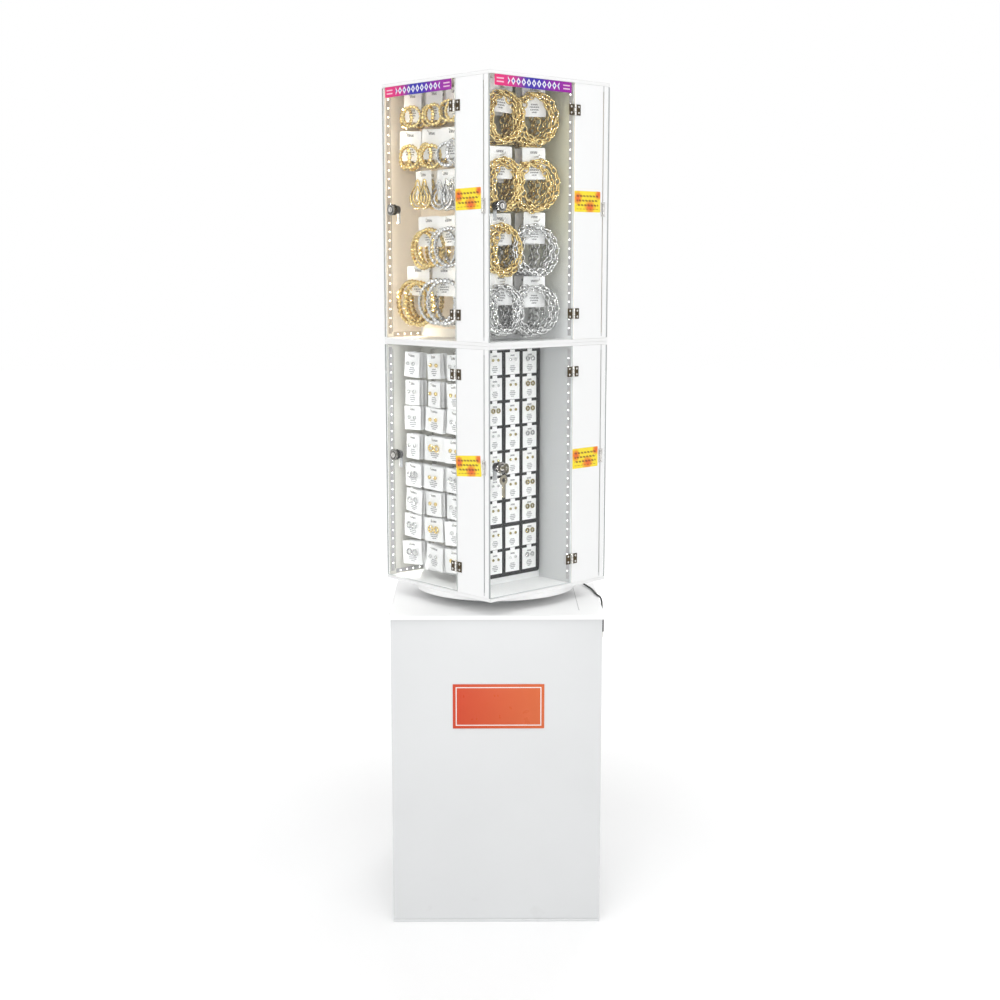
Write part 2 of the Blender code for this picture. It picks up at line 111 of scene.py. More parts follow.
class Nodes:
    def __init__(self, tree):
        self.tree = tree

    # one way in for every other node: type, settings first, then sockets
    def add(self, kind, settings=None, sockets=None, out=0):
        node = self.tree.nodes.new(kind)
        for key, value in (settings or {}).items():
            if key == "stops":
                ramp = node.color_ramp
                while len(ramp.elements) < len(value):
                    ramp.elements.new(0.5)
                for element, (place, colour) in zip(ramp.elements, value):
                    element.position = place
                    element.color = (*colour, 1)
            else:
                setattr(node, key, value)
        for key, value in (sockets or {}).items():
            self.plug(node.inputs[key], value)
        return Wire(self, node.outputs[out])

    def plug(self, socket, value):
        if isinstance(value, Wire):
            self.tree.links.new(value.socket, socket)
        elif isinstance(value, tuple) and len(value) == 3 and socket.type == "RGBA":
            socket.default_value = (*value, 1)
        else:
            socket.default_value = value

    # one where the camera, a mirror or a clear sheet looks
    def looked(self):
        rays = self.add("ShaderNodeLightPath").socket.node.outputs
        camera, glossy, clear = (Wire(self, rays[name]) for name in seenRays)
        return camera.either(glossy).either(clear)


class Finish(Nodes):
    names = {
        "colour": "Base Color", "rough": "Roughness", "metal": "Metallic", "normal": "Normal", "ior": "IOR",
        "glow": "Emission Color", "glowPower": "Emission Strength",
    }
    usual = (0.3, 0.7)  # where most of a noise lies

    def __init__(self, name, **fixed):
        self.material = bpy.data.materials.new(name)
        self.material.use_nodes = True
        super().__init__(self.material.node_tree)
        self.shader = self.tree.nodes["Principled BSDF"]
        self.output = self.tree.nodes["Material Output"]
        self.feed(**fixed)

    def feed(self, **sockets):
        for key, value in sockets.items():
            self.plug(self.shader.inputs[self.names[key]], value)
        return self

    # colour, and roughness that follows a noise, with or without a bump
    def skin(self, colour, noise, rough, normal=None):
        self.feed(colour=colour, rough=self.spread(noise, *self.usual, *rough))
        return self.feed(normal=normal) if normal else self

    def coords(self, angle=0.0):
        node = self.add("ShaderNodeTexCoord", {}, {}, "Object")
        if angle:
            node = self.add("ShaderNodeMapping", {}, {"Vector": node, "Rotation": (0, 0, -angle)})
        return node

    def xyz(self, vector):
        node = self.add("ShaderNodeSeparateXYZ", {}, {0: vector}).socket.node
        return [Wire(self, socket) for socket in node.outputs]

    def uv(self):
        return self.xyz(self.add("ShaderNodeTexCoord", {}, {}, "UV"))[:2]

    # one on the inked share of a row of dashes
    def dashes(self, across, up, inked):
        u, v = self.uv()
        return (u * across + v * up).part() < inked

    def noise(self, scale, detail):
        sockets = {"Vector": self.coords(), "Scale": scale, "Detail": detail}
        return self.add("ShaderNodeTexNoise", {}, sockets)

    def spread(self, value, low, high, start=0.0, end=1.0):
        sockets = {"Value": value, 1: low, 2: high, 3: start, 4: end}
        return self.add("ShaderNodeMapRange", {"clamp": True}, sockets)

    def blend(self, factor, first, second):
        sockets = {0: factor, 6: first, 7: second}
        return self.add("ShaderNodeMix", {"data_type": "RGBA"}, sockets, 2)

    def bump(self, height, strength, distance):
        sockets = {"Height": height, "Strength": strength, "Distance": distance}
        return self.add("ShaderNodeBump", {}, sockets)


# modelling helpers, all on the selected object as by hand
rounding = {"bevelAngle": math.radians(35), "shadeAngle": math.radians(40)}
turns = {"x": (0, math.pi / 2, 0), "y": (math.pi / 2, 0, 0), "z": (0, 0, 0)}
flat = 0.95  # least part of a face's normal along an axis, for a face that is square to it
tolerance = 0.0001


def only(obj):
    bpy.ops.object.select_all(action="DESELECT")
    obj.select_set(True)
    bpy.context.view_layer.objects.active = obj


def settle(obj):
    only(obj)
    bpy.ops.object.transform_apply(location=True, rotation=True, scale=True)
    return obj


# a new primitive, the only thing selected
def added(name, operator, **settings):
    bpy.ops.object.select_all(action="DESELECT")
    operator(**settings)
    bpy.context.object.name = name
    return bpy.context.object


def modified(obj, kind, **settings):
    only(obj)
    modifier = obj.modifiers.new(kind.lower(), kind)
    for name, value in settings.items():
        setattr(modifier, name, value)
    bpy.ops.object.modifier_apply(modifier=modifier.name)
    return obj


def soften(obj, width, steps=2):
    angle = rounding["bevelAngle"]
    modified(obj, "BEVEL", width=width, segments=steps, limit_method="ANGLE", angle_limit=angle)
    bpy.ops.object.shade_smooth_by_angle(angle=rounding["shadeAngle"])
    return obj


def block(name, low, high, edge=0.0, steps=2):
    low, high = Vector(low), Vector(high)
    obj = added(name, bpy.ops.mesh.primitive_cube_add, size=1, location=(low + high) / 2)
    obj.scale = high - low
    settle(obj)
    return soften(obj, edge, steps) if edge else obj


def drum(name, radius, axis, start, end, centre=(0, 0, 0), sides=24, edge=0.0):
    place = Vector(centre)
    place["xyz".index(axis)] = (start + end) / 2
    obj = added(name, bpy.ops.mesh.primitive_cylinder_add, vertices=sides, radius=radius,
                depth=end - start, location=place, rotation=turns[axis])
    settle(obj)
    if edge:
        return soften(obj, edge)
    bpy.ops.object.shade_smooth_by_angle(angle=rounding["shadeAngle"])
    return obj


# a ring that faces the bay's front
def torus(name, major, minor, rings, sides):
    obj = added(name, bpy.ops.mesh.primitive_torus_add, major_radius=major, minor_radius=minor,
                major_segments=rings, minor_segments=sides, rotation=turns["y"])
    settle(obj)
    bpy.ops.object.shade_smooth()
    return obj


def startEdit(obj, kind):
    only(obj)
    bpy.ops.object.mode_set(mode="EDIT")
    bpy.ops.mesh.select_mode(type=kind)
    bpy.ops.mesh.select_all(action="DESELECT")
    bpy.ops.object.mode_set(mode="OBJECT")


# leave only the faces that pass the test selected, in edit mode
def editFaces(obj, test):
    startEdit(obj, "FACE")
    for face in obj.data.polygons:
        face.select = bool(test(face.center, face.normal))
    bpy.ops.object.mode_set(mode="EDIT")


def editEdges(obj, test):
    startEdit(obj, "EDGE")
    spots = [vert.co for vert in obj.data.vertices]
    for edge in obj.data.edges:
        edge.select = bool(test(*(spots[i] for i in edge.vertices)))
    bpy.ops.object.mode_set(mode="EDIT")


def endEdit():
    bpy.ops.object.mode_set(mode="OBJECT")


def pull(move):
    bpy.ops.mesh.extrude_region_move(TRANSFORM_OT_translate={"value": move})


def pushFaces(obj, test, inset, move):
    editFaces(obj, test)
    if inset:
        bpy.ops.mesh.inset(thickness=inset)
    pull(move)
    endEdit()
    return obj


# a test for faces that look along an axis, up it or down it
def facing(axis, way, least=flat):
    return lambda centre, normal: way * normal["xyz".index(axis)] > least


frontward, rightward = facing("y", -1), facing("x", 1)


def paint(obj, finish):
    obj.data.materials.clear()
    obj.data.materials.append(finish.material)
    return obj


def paintFaces(obj, finish, test):
    obj.data.materials.append(finish.material)
    obj.active_material_index = len(obj.data.materials) - 1
    editFaces(obj, test)
    bpy.ops.object.material_slot_assign()
    endEdit()
    return obj


def copyOf(obj, name):
    twin = obj.copy()
    twin.data = obj.data.copy()
    twin.name = name
    bpy.context.scene.collection.objects.link(twin)
    return twin


def moved(obj, shift=(0, 0, 0), angle=0.0):
    obj.location = shift
    obj.rotation_euler = (0, 0, angle)
    return settle(obj)


def join(objs, name):
    only(objs[0])
    for obj in objs:
        obj.select_set(True)
    if len(objs) > 1:
        bpy.ops.object.join()
    objs[0].name = name
    return objs[0]


def drop(*objs):
    for obj in objs:
        bpy.data.objects.remove(obj)


# the piece rides on a body and stands for the named nodes
def onBody(obj, body, slot, *nodes):
    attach(obj, body)
    if nodes:
        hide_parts(*nodes)


def about(reach):
    return rng.uniform(-reach, reach)


# sizes shared with the solids
case = {"turn": math.radians(42.06), "half": 0.1545, "bayDepth": 0.095, "sheet": 0.004, "pane": 0.004,
        "board": 0.006, "slot": 0.017, "gap": 0.0005}
half = case["half"]
rightWall = half - case["bayDepth"]
hingeX = rightWall - case["gap"]
bays = (1, 2, 3, 4)
rightBays, leftBays = (1, 3), (2, 4)  # dressed like the photograph's right face, or like its left one
tiers = {
    tier: (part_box(f"{tier}_floor_board")[0].z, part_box(f"{tier}_roof_board")[1].z)
    for tier in ("lower", "upper")
}


def bayAngle(bay):
    return case["turn"] + (bay - 1) * math.pi / 2


# finishes
topSeam = {"x": 0.158, "half": 0.0007, "from": -0.161, "level": 0.6115}
sheetMarks = {  # skin of the outer faces, plain white foot of the back, painted shadow line of the slot, fade of the painted light and shade
    "skin": 0.0006, "footDeep": 0.091, "footThick": 0.0008, "footTall": 0.023,
    "slotHalf": 0.0018, "slotSkin": 0.0036, "slotFrom": 0.010, "lightAndShadeFade": (0.03, 0.24),
}
roofSkin = 0.0005  # how far below the roof's top its dust and painted shade begin


def laminateFinish(name, dark, light):
    made = Finish(name, ior=1.5)
    x, y, z = made.xyz(made.coords())
    cloud = made.noise(5.0, 2.0)
    grain = made.noise(900.0, 2.0)
    seam = (abs(x - topSeam["x"]) < topSeam["half"]) * (y > topSeam["from"]) * (z > topSeam["level"])
    scuff = made.spread(made.noise(26.0, 4.0), 0.60, 0.72) * made.spread(z, 0.10, 0.0)
    colour = made.blend(cloud, dark, light)
    colour = made.blend(scuff * 0.25, colour, (0.55, 0.55, 0.54))
    colour = made.blend(seam * 0.6, colour, (0.20, 0.20, 0.20))
    return made.skin(colour, cloud, (0.30, 0.42), made.bump(grain, 0.08, 0.0004))


# a bent sheet, white outside: inside, its own bay's light and shade painted in as a tint, and the next
# bay's on its back
def sheetFinish(name, angle, bottom, tint, rear):
    made = Finish(name, ior=1.49)
    x, y, z = made.xyz(made.coords(angle))
    cloud = made.noise(9.0, 3.0)
    outer = x < (-half + sheetMarks["skin"])
    behind = y > (-half + case["bayDepth"] - sheetMarks["skin"])
    foot = abs(y - (-half + sheetMarks["footDeep"])) < sheetMarks["footThick"]
    foot = foot * (z < (bottom + sheetMarks["footTall"]))
    # painted shadow: a grey line along the slot on the outer face
    slotShadow = abs(y - (-half + case["slot"])) < sheetMarks["slotHalf"]
    slotShadow = slotShadow * (x < (-half + sheetMarks["slotSkin"])) * (z > (bottom + sheetMarks["slotFrom"]))
    # painted light and shade fade in from the tint by the floor to the one higher up
    level = made.spread(z, *(bottom + up for up in sheetMarks["lightAndShadeFade"]))
    colour = made.blend(behind, *(made.blend(level, side["low"], side["inside"]) for side in (tint, rear)))
    colour = made.blend(made.spread(cloud, 0.35, 0.75) * 0.10, colour, (0.70, 0.70, 0.70))
    # the outer faces and the foot of the back keep the plain white, without painted light or shade
    colour = made.blend(outer.either(foot), colour, (0.945, 0.95, 0.95))
    colour = made.blend(slotShadow * 0.45, colour, (0.34, 0.35, 0.36))
    return made.skin(colour, cloud, (0.30, 0.42), made.bump(made.noise(60.0, 2.0), 0.05, 0.0006))


# white board, with a little dust and painted shade in grey patches on what lies above the given level
def boardFinish(name, dustAndShadeFrom=None):
    made = Finish(name, ior=1.49)
    cloud = made.noise(12.0, 3.0)
    colour = made.blend(cloud, (0.90, 0.905, 0.905), (0.94, 0.94, 0.935))
    if dustAndShadeFrom:
        height = made.xyz(made.coords())[2]
        dustAndShade = (height > dustAndShadeFrom) * made.spread(made.noise(7.0, 5.0), *made.usual, 0.75, 1.0)
        colour = made.blend(dustAndShade, colour, (0.68, 0.68, 0.67))
    return made.skin(colour, cloud, (0.36, 0.50), made.bump(made.noise(70.0, 2.0), 0.05, 0.0005))


clearSheet = {"tint": (0.985, 0.99, 0.99), "face": 0.022, "slant": 0.55, "rise": 5.0, "smear": 0.008}


# clear sheet, with a reflection that is the same on both of its sides
def paneFinish():
    made = Finish("clearPane", colour=(1, 1, 1), metal=1.0)
    smear = made.noise(14.0, 4.0)
    made.feed(rough=made.spread(smear, 0.45, 0.75, 0.015, 0.10))
    slant = made.add("ShaderNodeLayerWeight", {}, {"Blend": 0.5}, "Facing")
    clear = made.add("ShaderNodeBsdfTransparent", {}, {"Color": clearSheet["tint"]})
    factor = slant.calc("POWER", clearSheet["rise"]) * clearSheet["slant"] + clearSheet["face"]
    factor = factor + made.spread(smear, 0.55, 0.8) * clearSheet["smear"]
    mixed = made.add("ShaderNodeMixShader", {}, {0: factor, 1: clear})
    made.tree.links.new(made.shader.outputs[0], mixed.socket.node.inputs[2])
    made.tree.links.new(mixed.socket, made.output.inputs["Surface"])
    return made


# a mottle from dark to light: wear on most metals, on the jewellery and the lock's bezel mostly painted
# dark reflection and highlight
def metalFinish(name, dark, light, rough, scale=300.0, metal=1.0):
    made = Finish(name, metal=metal)
    wearAndReflection = made.noise(scale, 4.0)
    fine = made.noise(scale * 5, 2.0)
    return made.skin(made.blend(wearAndReflection, dark, light), fine, rough, made.bump(fine, 0.06, 0.0002))


def plainFinish(name, dark, light, rough, scale=200.0, bump=0.1, ior=1.48):
    made = Finish(name, ior=ior)
    grain = made.noise(scale, 3.0)
    fine = made.noise(scale * 6, 2.0)
    return made.skin(made.blend(grain, dark, light), grain, rough, made.bump(fine, bump, 0.0003))


# colours run from dark to light, then roughness from low to high
# one white laminate in two copies: darker on the base's front and sides as painted shade, lighter on its
# top as painted light
shadedLaminate = laminateFinish("shadedWhiteLaminate", (0.70, 0.71, 0.715), (0.75, 0.76, 0.765))
litTopLaminate = laminateFinish("litTopLaminate", (0.92, 0.925, 0.925), (0.95, 0.95, 0.95))
board = boardFinish("whiteBoard")
# the roof's top gets grey patches: dust, and painted shade that darkens the lit top
roofBoard = boardFinish("dustAndShadeRoof", tiers["upper"][1] - roofSkin)
pane = paneFinish()
# the clear sheet's cut edges painted opaque and pale as painted light; a darker copy on the end edges as
# painted shade
litPaneEdge = plainFinish("litPaneEdge", (0.70, 0.74, 0.74), (0.80, 0.83, 0.83), (0.12, 0.24), 60.0, 0.03)
shadedPaneEnd = plainFinish("shadedPaneEnd", (0.33, 0.35, 0.35), (0.45, 0.47, 0.47), (0.12, 0.24), 60.0, 0.03)
bronze = metalFinish("darkBronze", (0.030, 0.023, 0.014), (0.13, 0.10, 0.06), (0.26, 0.42), 260.0, 0.95)
# lock bezel: its wide dark-to-light mottle is painted dark reflection and highlight
lockMetal = metalFinish("lockMetal", (0.05, 0.05, 0.05), (0.48, 0.47, 0.44), (0.10, 0.22), 240.0)
nickel = metalFinish("brightNickel", (0.52, 0.51, 0.49), (0.74, 0.73, 0.70), (0.14, 0.28))
darkSteel = metalFinish("darkSteel", (0.04, 0.04, 0.042), (0.15, 0.15, 0.155), (0.18, 0.32))
keyMetal = metalFinish("agedNickel", (0.13, 0.12, 0.09), (0.46, 0.43, 0.35), (0.18, 0.34), 220.0)
steel = metalFinish("rolledSteel", (0.36, 0.37, 0.38), (0.52, 0.53, 0.54), (0.30, 0.45))
# gold: its wide dark-to-light mottle is painted dark reflection
gold = metalFinish("goldPlate", (0.46, 0.30, 0.08), (1.0, 0.84, 0.44), (0.06, 0.20), 170.0)
oldGold = metalFinish("oldGold", (0.16, 0.13, 0.05), (0.66, 0.56, 0.26), (0.10, 0.24))
# silver: its wide dark-to-light mottle is painted dark reflection
silver = metalFinish("silverPlate", (0.30, 0.30, 0.30), (0.94, 0.94, 0.93), (0.06, 0.20), 170.0)
blackPlastic = plainFinish(
    "blackPlastic", (0.008, 0.008, 0.009), (0.018, 0.018, 0.019), (0.40, 0.55), ior=1.25)
rubber = plainFinish("blackRubber", (0.010, 0.010, 0.010), (0.022, 0.022, 0.022), (0.50, 0.66), 400.0, 0.2)
print("finishes mixed")


# supply lead, first of the pieces: same route as its solid
lead = {
    "diameter": 0.0035,
    "step": 2.0,
    "smooth": 40,
    "roundSteps": 4,
    "route": [
        (0.1520, 0.1180, 0.6174), (0.1520, 0.1180, 0.6232), (0.1545, 0.1147, 0.6288),
        (0.1612, 0.1058, 0.6296), (0.1704, 0.0905, 0.6226), (0.1790, 0.0690, 0.6158),
        (0.1868, 0.0450, 0.6146), (0.1936, 0.0200, 0.6146), (0.1980, -0.0100, 0.6146),
        (0.2008, -0.0350, 0.6146), (0.2060, -0.0540, 0.6140), (0.2086, -0.0640, 0.6086),
        (0.2090, -0.0700, 0.5990), (0.2090, -0.0712, 0.5930), (0.2090, -0.0712, 0.5860),
    ],
}
connector = {
    "gap": 0.0003, "radius": 0.0040, "relief": 0.012, "taper": (0.45, 0.45, 1),
    "ribs": 3, "rib": 0.0037, "ribShrink": 0.0005, "ribStep": 0.003, "ribSpan": (0.0095, 0.008),
    "ribEdge": 0.0003, "grip": 0.038, "gripEdge": 0.0006,
    "sleeve": 0.0028, "nose": 0.0495, "sleeveWall": 0.0009, "bore": 0.007,
}


def smoothRoute(points, spacing):
    route = [Vector(p) for p in points]
    route = [2 * route[0] - route[1]] + route + [2 * route[-1] - route[-2]]
    dense = []
    for a, b, c, d in zip(route, route[1:], route[2:], route[3:]):
        for i in range(lead["smooth"]):
            t = i / lead["smooth"]
            dense.append(0.5 * (2 * b + (c - a) * t + (2 * a - 5 * b + 4 * c - d) * t ** 2
                                + (3 * b - a - 3 * c + d) * t ** 3))
    dense.append(route[-2])
    run = [0.0]
    for a, b in zip(dense, dense[1:]):
        run.append(run[-1] + (b - a).length)
    count = round(run[-1] / spacing)
    stops = [run[-1] * i / count for i in range(count + 1)]
    return [dense[min(range(len(dense)), key=lambda k: abs(run[k] - stop))] for stop in stops]


# ribbed strain relief, grip and a bright hollow barrel, down from the lead's end
def leadPlug():
    x, y, z = lead["route"][-1]
    centre, top = (x, y, 0), z - connector["gap"]
    shoulder, foot = top - connector["relief"], top - connector["grip"]
    relief = drum("relief", connector["radius"], "z", shoulder, top, centre, 20)
    editFaces(relief, facing("z", 1))
    bpy.ops.transform.resize(value=connector["taper"], center_override=(x, y, top))
    endEdit()
    parts = [paint(relief, rubber)]
    for i in range(connector["ribs"]):
        low, high = (top - down + i * connector["ribStep"] for down in connector["ribSpan"])
        radius = connector["rib"] - i * connector["ribShrink"]
        rib = drum("rib", radius, "z", low, high, centre, 20, connector["ribEdge"])
        parts.append(paint(rib, rubber))
    grip = drum("grip", connector["radius"], "z", foot, shoulder, centre, 24, connector["gripEdge"])
    parts.append(paint(grip, blackPlastic))
    sleeve = drum("sleeve", connector["sleeve"], "z", top - connector["nose"], foot, centre, 24)
    pushFaces(sleeve, facing("z", -1), connector["sleeveWall"], (0, 0, connector["bore"]))
    parts.append(paint(sleeve, nickel))
    return join(parts, "leadConnector")


def buildLead():
    points = smoothRoute(lead["route"], lead["step"] * lead["diameter"])
    curve = bpy.data.curves.new("supplyLead", "CURVE")
    curve.dimensions = "3D"
    curve.bevel_depth = lead["diameter"] / 2
    curve.bevel_resolution = lead["roundSteps"]
    curve.use_fill_caps = True
    spline = curve.splines.new("POLY")
    spline.points.add(len(points) - 1)
    for point, spot in zip(spline.points, points):
        point.co = (*spot, 1)
    curve.materials.append(rubber.material)
    obj = bpy.data.objects.new("supplyLead", curve)
    bpy.context.scene.collection.objects.link(obj)
    length = sum((b - a).length for a, b in zip(points, points[1:]))
    plug = leadPlug()
    onBody(plug, "base", "black_plastic", "lead_connector")
    onBody(obj, "base", "black_rubber", "power_lead")
    print(f"supply lead {length:.4f} m")


buildLead()


# base cabinet: boards with eased edges, the rest painted as it is
base = {
    "edge": 0.0007,
    "boards": ("base_front_panel", "base_back_panel", "base_left_panel", "base_right_panel",
               "base_bottom_board"),
    "painted": {"base_top_board": litTopLaminate, "bearing_lower_ring": steel, "bearing_ball_cage": steel,
                "slip_ring": blackPlastic, "lead_grommet": rubber, "turntable_disc": board},
}


def buildBase():
    for node in base["boards"]:
        low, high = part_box(node)
        piece = paint(block(node + "_eased", low, high, base["edge"]), shadedLaminate)
        onBody(piece, "base", "white_laminate", node)
    for node, finish in base["painted"].items():
        paint(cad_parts[node], finish)
    print("base dressed")


buildBase()


# tower boards and bent sheets
# light and shade painted inside each bay as tints over the white sheet: warm light in the upper left bays,
# shade in the rest; low is the tint by the floor
bayLightAndShade = {
    "upperRight": {"inside": (0.64, 0.63, 0.50), "low": (0.84, 0.85, 0.85)},
    "upperLeft": {"inside": (0.97, 0.87, 0.73), "low": (0.97, 0.89, 0.78)},
    "lowerRight": {"inside": (0.58, 0.59, 0.59), "low": (0.60, 0.61, 0.61)},
    "lowerLeft": {"inside": (0.77, 0.76, 0.70), "low": (0.77, 0.76, 0.70)},
}


def lightAndShadeOf(tier, bay):
    return bayLightAndShade[tier + ("Right" if bay in rightBays else "Left")]


def buildTower():
    for tier in tiers:
        for bay in bays:
            tint, rear = lightAndShadeOf(tier, bay), lightAndShadeOf(tier, bays[bay - 2])
            finish = sheetFinish(f"{tier}Sheet{bay}", bayAngle(bay), tiers[tier][0], tint, rear)
            paint(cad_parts[f"{tier}_wall_{bay}"], finish)
        for level in ("floor", "roof"):
            paint(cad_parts[f"{tier}_{level}_board"], board)
    paint(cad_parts["upper_roof_board"], roofBoard)
    print("tower dressed")


buildTower()


# doors: clear pane, hinge leaves, lock
door = {"clear": 0.001, "edge": 0.0005, "facing": 0.8}  # facing parts the edges from the broad faces
hinge = {
    "inset": 0.055, "axisOut": 0.0025, "tall": 0.020, "leaf": 0.015, "thick": 0.0012, "edge": 0.0005,
    "gap": 0.0003, "relief": 0.0006, "knuckle": 0.0022, "middle": 0.0068, "round": 0.0003,
    "pin": 0.0010, "pinOut": 0.0004,
    "screw": 0.0021, "screwSide": 0.0098, "screwUp": 0.0056, "screwOut": 0.0005, "screwIn": 0.0002,
    "screwEdge": 0.0002, "screwRim": 0.0012, "screwDish": 0.0003,
}
lock = {
    "in": 0.027, "up": 0.252, "edge": 0.0004, "seat": 0.0004,
    "bezel": 0.011, "bezelOut": 0.0035, "bezelEdge": 0.0008, "rim": 0.0032, "dish": 0.0009,
    "barrel": 0.008, "barrelIn": 0.016, "nut": 0.0105, "nutSpan": (0.0045, 0.0085),
    "plug": 0.0054, "plugOut": 0.0006, "plugIn": 0.0170,
    "keywayRim": 0.0026, "keywayShape": (0.30, 1, 1.35), "keywayDeep": 0.003, "keywayReach": 0.0045,
    "cam": ((-0.0045, 0.0163, -0.026), (0.0045, 0.0177, 0.0045)), "camEdge": 0.0006,
    "bolt": 0.0034, "boltSpan": (0.0176, 0.0196), "boltEdge": 0.0003,
}
plugFront = -lock["bezelOut"] - lock["plugOut"]


# one leaf on the given side of the pin, with its knuckles and two screws, about the pin's middle
def hingeLeaf(side):
    tall, gap = hinge["tall"] / 2, hinge["gap"]
    back = hinge["axisOut"] - gap
    front = back - hinge["thick"]
    inner = hinge["knuckle"] + hinge["relief"]
    left, right = sorted((side * inner, side * hinge["leaf"]))
    plate = block("plate", (left, front, -tall), (right, back, tall), hinge["edge"])
    parts = [plate]
    middle = hinge["middle"] / 2
    bands = [(-middle, middle)] if side < 0 else [(-tall, -middle - gap), (middle + gap, tall)]
    left, right = sorted((side * (inner + hinge["relief"]), 0))
    for low, high in bands:
        parts.append(block("tab", (left, front, low), (right, back, high)))
        parts.append(drum("knuckle", hinge["knuckle"], "z", low, high, edge=hinge["round"]))
    if side > 0:
        end = tall + hinge["pinOut"]
        parts.append(drum("pin", hinge["pin"], "z", -end, end, sides=16, edge=hinge["round"]))
    # knuckles, tabs and pin in bright nickel against the dark leaves: partly a painted highlight along the
    # knuckle
    for part in parts:
        paint(part, nickel)
    paint(plate, bronze)
    for up in (-1, 1):
        centre = (side * hinge["screwSide"], 0, up * hinge["screwUp"])
        near, far = front - hinge["screwOut"], front + hinge["screwIn"]
        screw = drum("screw", hinge["screw"], "y", near, far, centre, 20, hinge["screwEdge"])
        pushFaces(screw, frontward, hinge["screwRim"], (0, hinge["screwDish"], 0))
        parts.append(paint(screw, nickel))
    return join(parts, "hingeLeaf")


def lockHousing():
    front, seat, edge = -lock["bezelOut"], lock["seat"], lock["edge"]
    ring = drum("bezel", lock["bezel"], "y", front, seat, sides=40, edge=lock["bezelEdge"])
    pushFaces(ring, frontward, lock["rim"], (0, lock["dish"], 0))
    paint(ring, lockMetal)
    # the bezel's dish in dark steel: a painted dark reflection in a ring round the plug
    paintFaces(ring, darkSteel, lambda c, n: frontward(c, n) and c.y > front + tolerance)
    barrel = drum("barrel", lock["barrel"], "y", seat, lock["barrelIn"], sides=28, edge=edge)
    nut = drum("nut", lock["nut"], "y", *lock["nutSpan"], sides=6, edge=edge)
    return join([ring, paint(barrel, darkSteel), paint(nut, darkSteel)], "lockHousing")


# plug face with its keyway, and the flat cam behind
def lockPlug():
    plug = drum("plug", lock["plug"], "y", plugFront, lock["plugIn"], sides=28, edge=lock["edge"])
    editFaces(plug, frontward)
    bpy.ops.mesh.inset(thickness=lock["keywayRim"])
    bpy.ops.transform.resize(value=lock["keywayShape"], center_override=(0, plugFront, 0))
    pull((0, lock["keywayDeep"], 0))
    endEdit()
    paint(plug, nickel)
    front, back = plugFront + tolerance, lock["plugIn"] - tolerance
    # the keyway's walls and floor in dark steel: painted shade in the recess
    paintFaces(plug, darkSteel, lambda c, n: front < c.y < back and c.xz.length < lock["keywayReach"])
    arm = block("cam", *lock["cam"], lock["camEdge"])
    bolt = drum("bolt", lock["bolt"], "y", *lock["boltSpan"], sides=6, edge=lock["boltEdge"])
    return join([plug, paint(arm, steel), paint(bolt, darkSteel)], "lockPlug")


# a cabinet key: pierced round bow, neck and cut blade, flat in the XZ plane, hanging down
key = {
    "bow": 0.0096, "halfThick": 0.0008, "bowRim": 0.0056, "edge": 0.0003,
    "shankHalf": 0.0033, "shankSpan": (-0.0425, -0.0176), "steps": 11,
    "cuts": (-0.0249, -0.0291, -0.0332, -0.0395), "cutHalf": 0.0011, "cutDeep": 0.0014,
    "neck": 0.0019, "neckOut": 0.0052, "neckIn": 0.004, "bowOut": 0.005, "bowShort": 0.62,
    "ring": (0.0090, 0.0008, 40, 10), "ringOut": 0.0025, "ringTop": 0.0031, "overlap": 0.0018,
}


def keyShape(blade):
    thick = key["halfThick"]
    bow = drum("bow", key["bow"], "y", -thick, thick, (0, 0, -key["bow"]), 28)
    editFaces(bow, lambda c, n: abs(n.y) > flat)
    bpy.ops.mesh.inset(thickness=key["bowRim"])
    bpy.ops.mesh.bridge_edge_loops()
    endEdit()
    parts = [soften(bow, key["edge"])]
    if blade:
        wide, (low, high) = key["shankHalf"], key["shankSpan"]
        shank = block("shank", (-wide, -thick, low), (wide, thick, high))
        editEdges(shank, lambda a, b: abs(a.z - b.z) > tolerance)
        bpy.ops.mesh.subdivide(number_cuts=key["steps"])
        endEdit()

        def atCut(c, n):
            return rightward(c, n) and any(abs(c.z - cut) < key["cutHalf"] for cut in key["cuts"])

        parts.append(pushFaces(shank, atCut, 0.0, (-key["cutDeep"], 0, 0)))
    for part in parts:
        paint(part, keyMetal)
    return join(parts, "keyShape")


# the key in the lock: round neck, bow upright and edge on
def standingKey(spot):
    neck = drum("neck", key["neck"], "y", plugFront - key["neckOut"], plugFront + key["neckIn"], sides=16)
    bow = keyShape(False)
    for turn in ((-math.pi / 2, 0, 0), (0, math.pi / 2, 0)):
        bow.rotation_euler = turn
        settle(bow)
    bow.scale = (1, key["bowShort"], 1)
    settle(bow)
    bow = moved(bow, (0, plugFront - key["bowOut"], 0))
    return [moved(paint(neck, keyMetal), spot), moved(bow, spot)]


def hangingKey(spot, angle):
    radius = key["ring"][0]
    depth = plugFront - key["ringOut"]
    centre = key["ringTop"] - radius
    ring = moved(torus("ring", *key["ring"]), (0, depth, centre))
    spare = moved(keyShape(True), (0, depth, centre - radius + key["overlap"]))
    keys = moved(join([paint(ring, keyMetal), spare], "keyRing"), spot)
    onBody(moved(keys, angle=angle), "key_ring_body", "nickel", "key_ring")


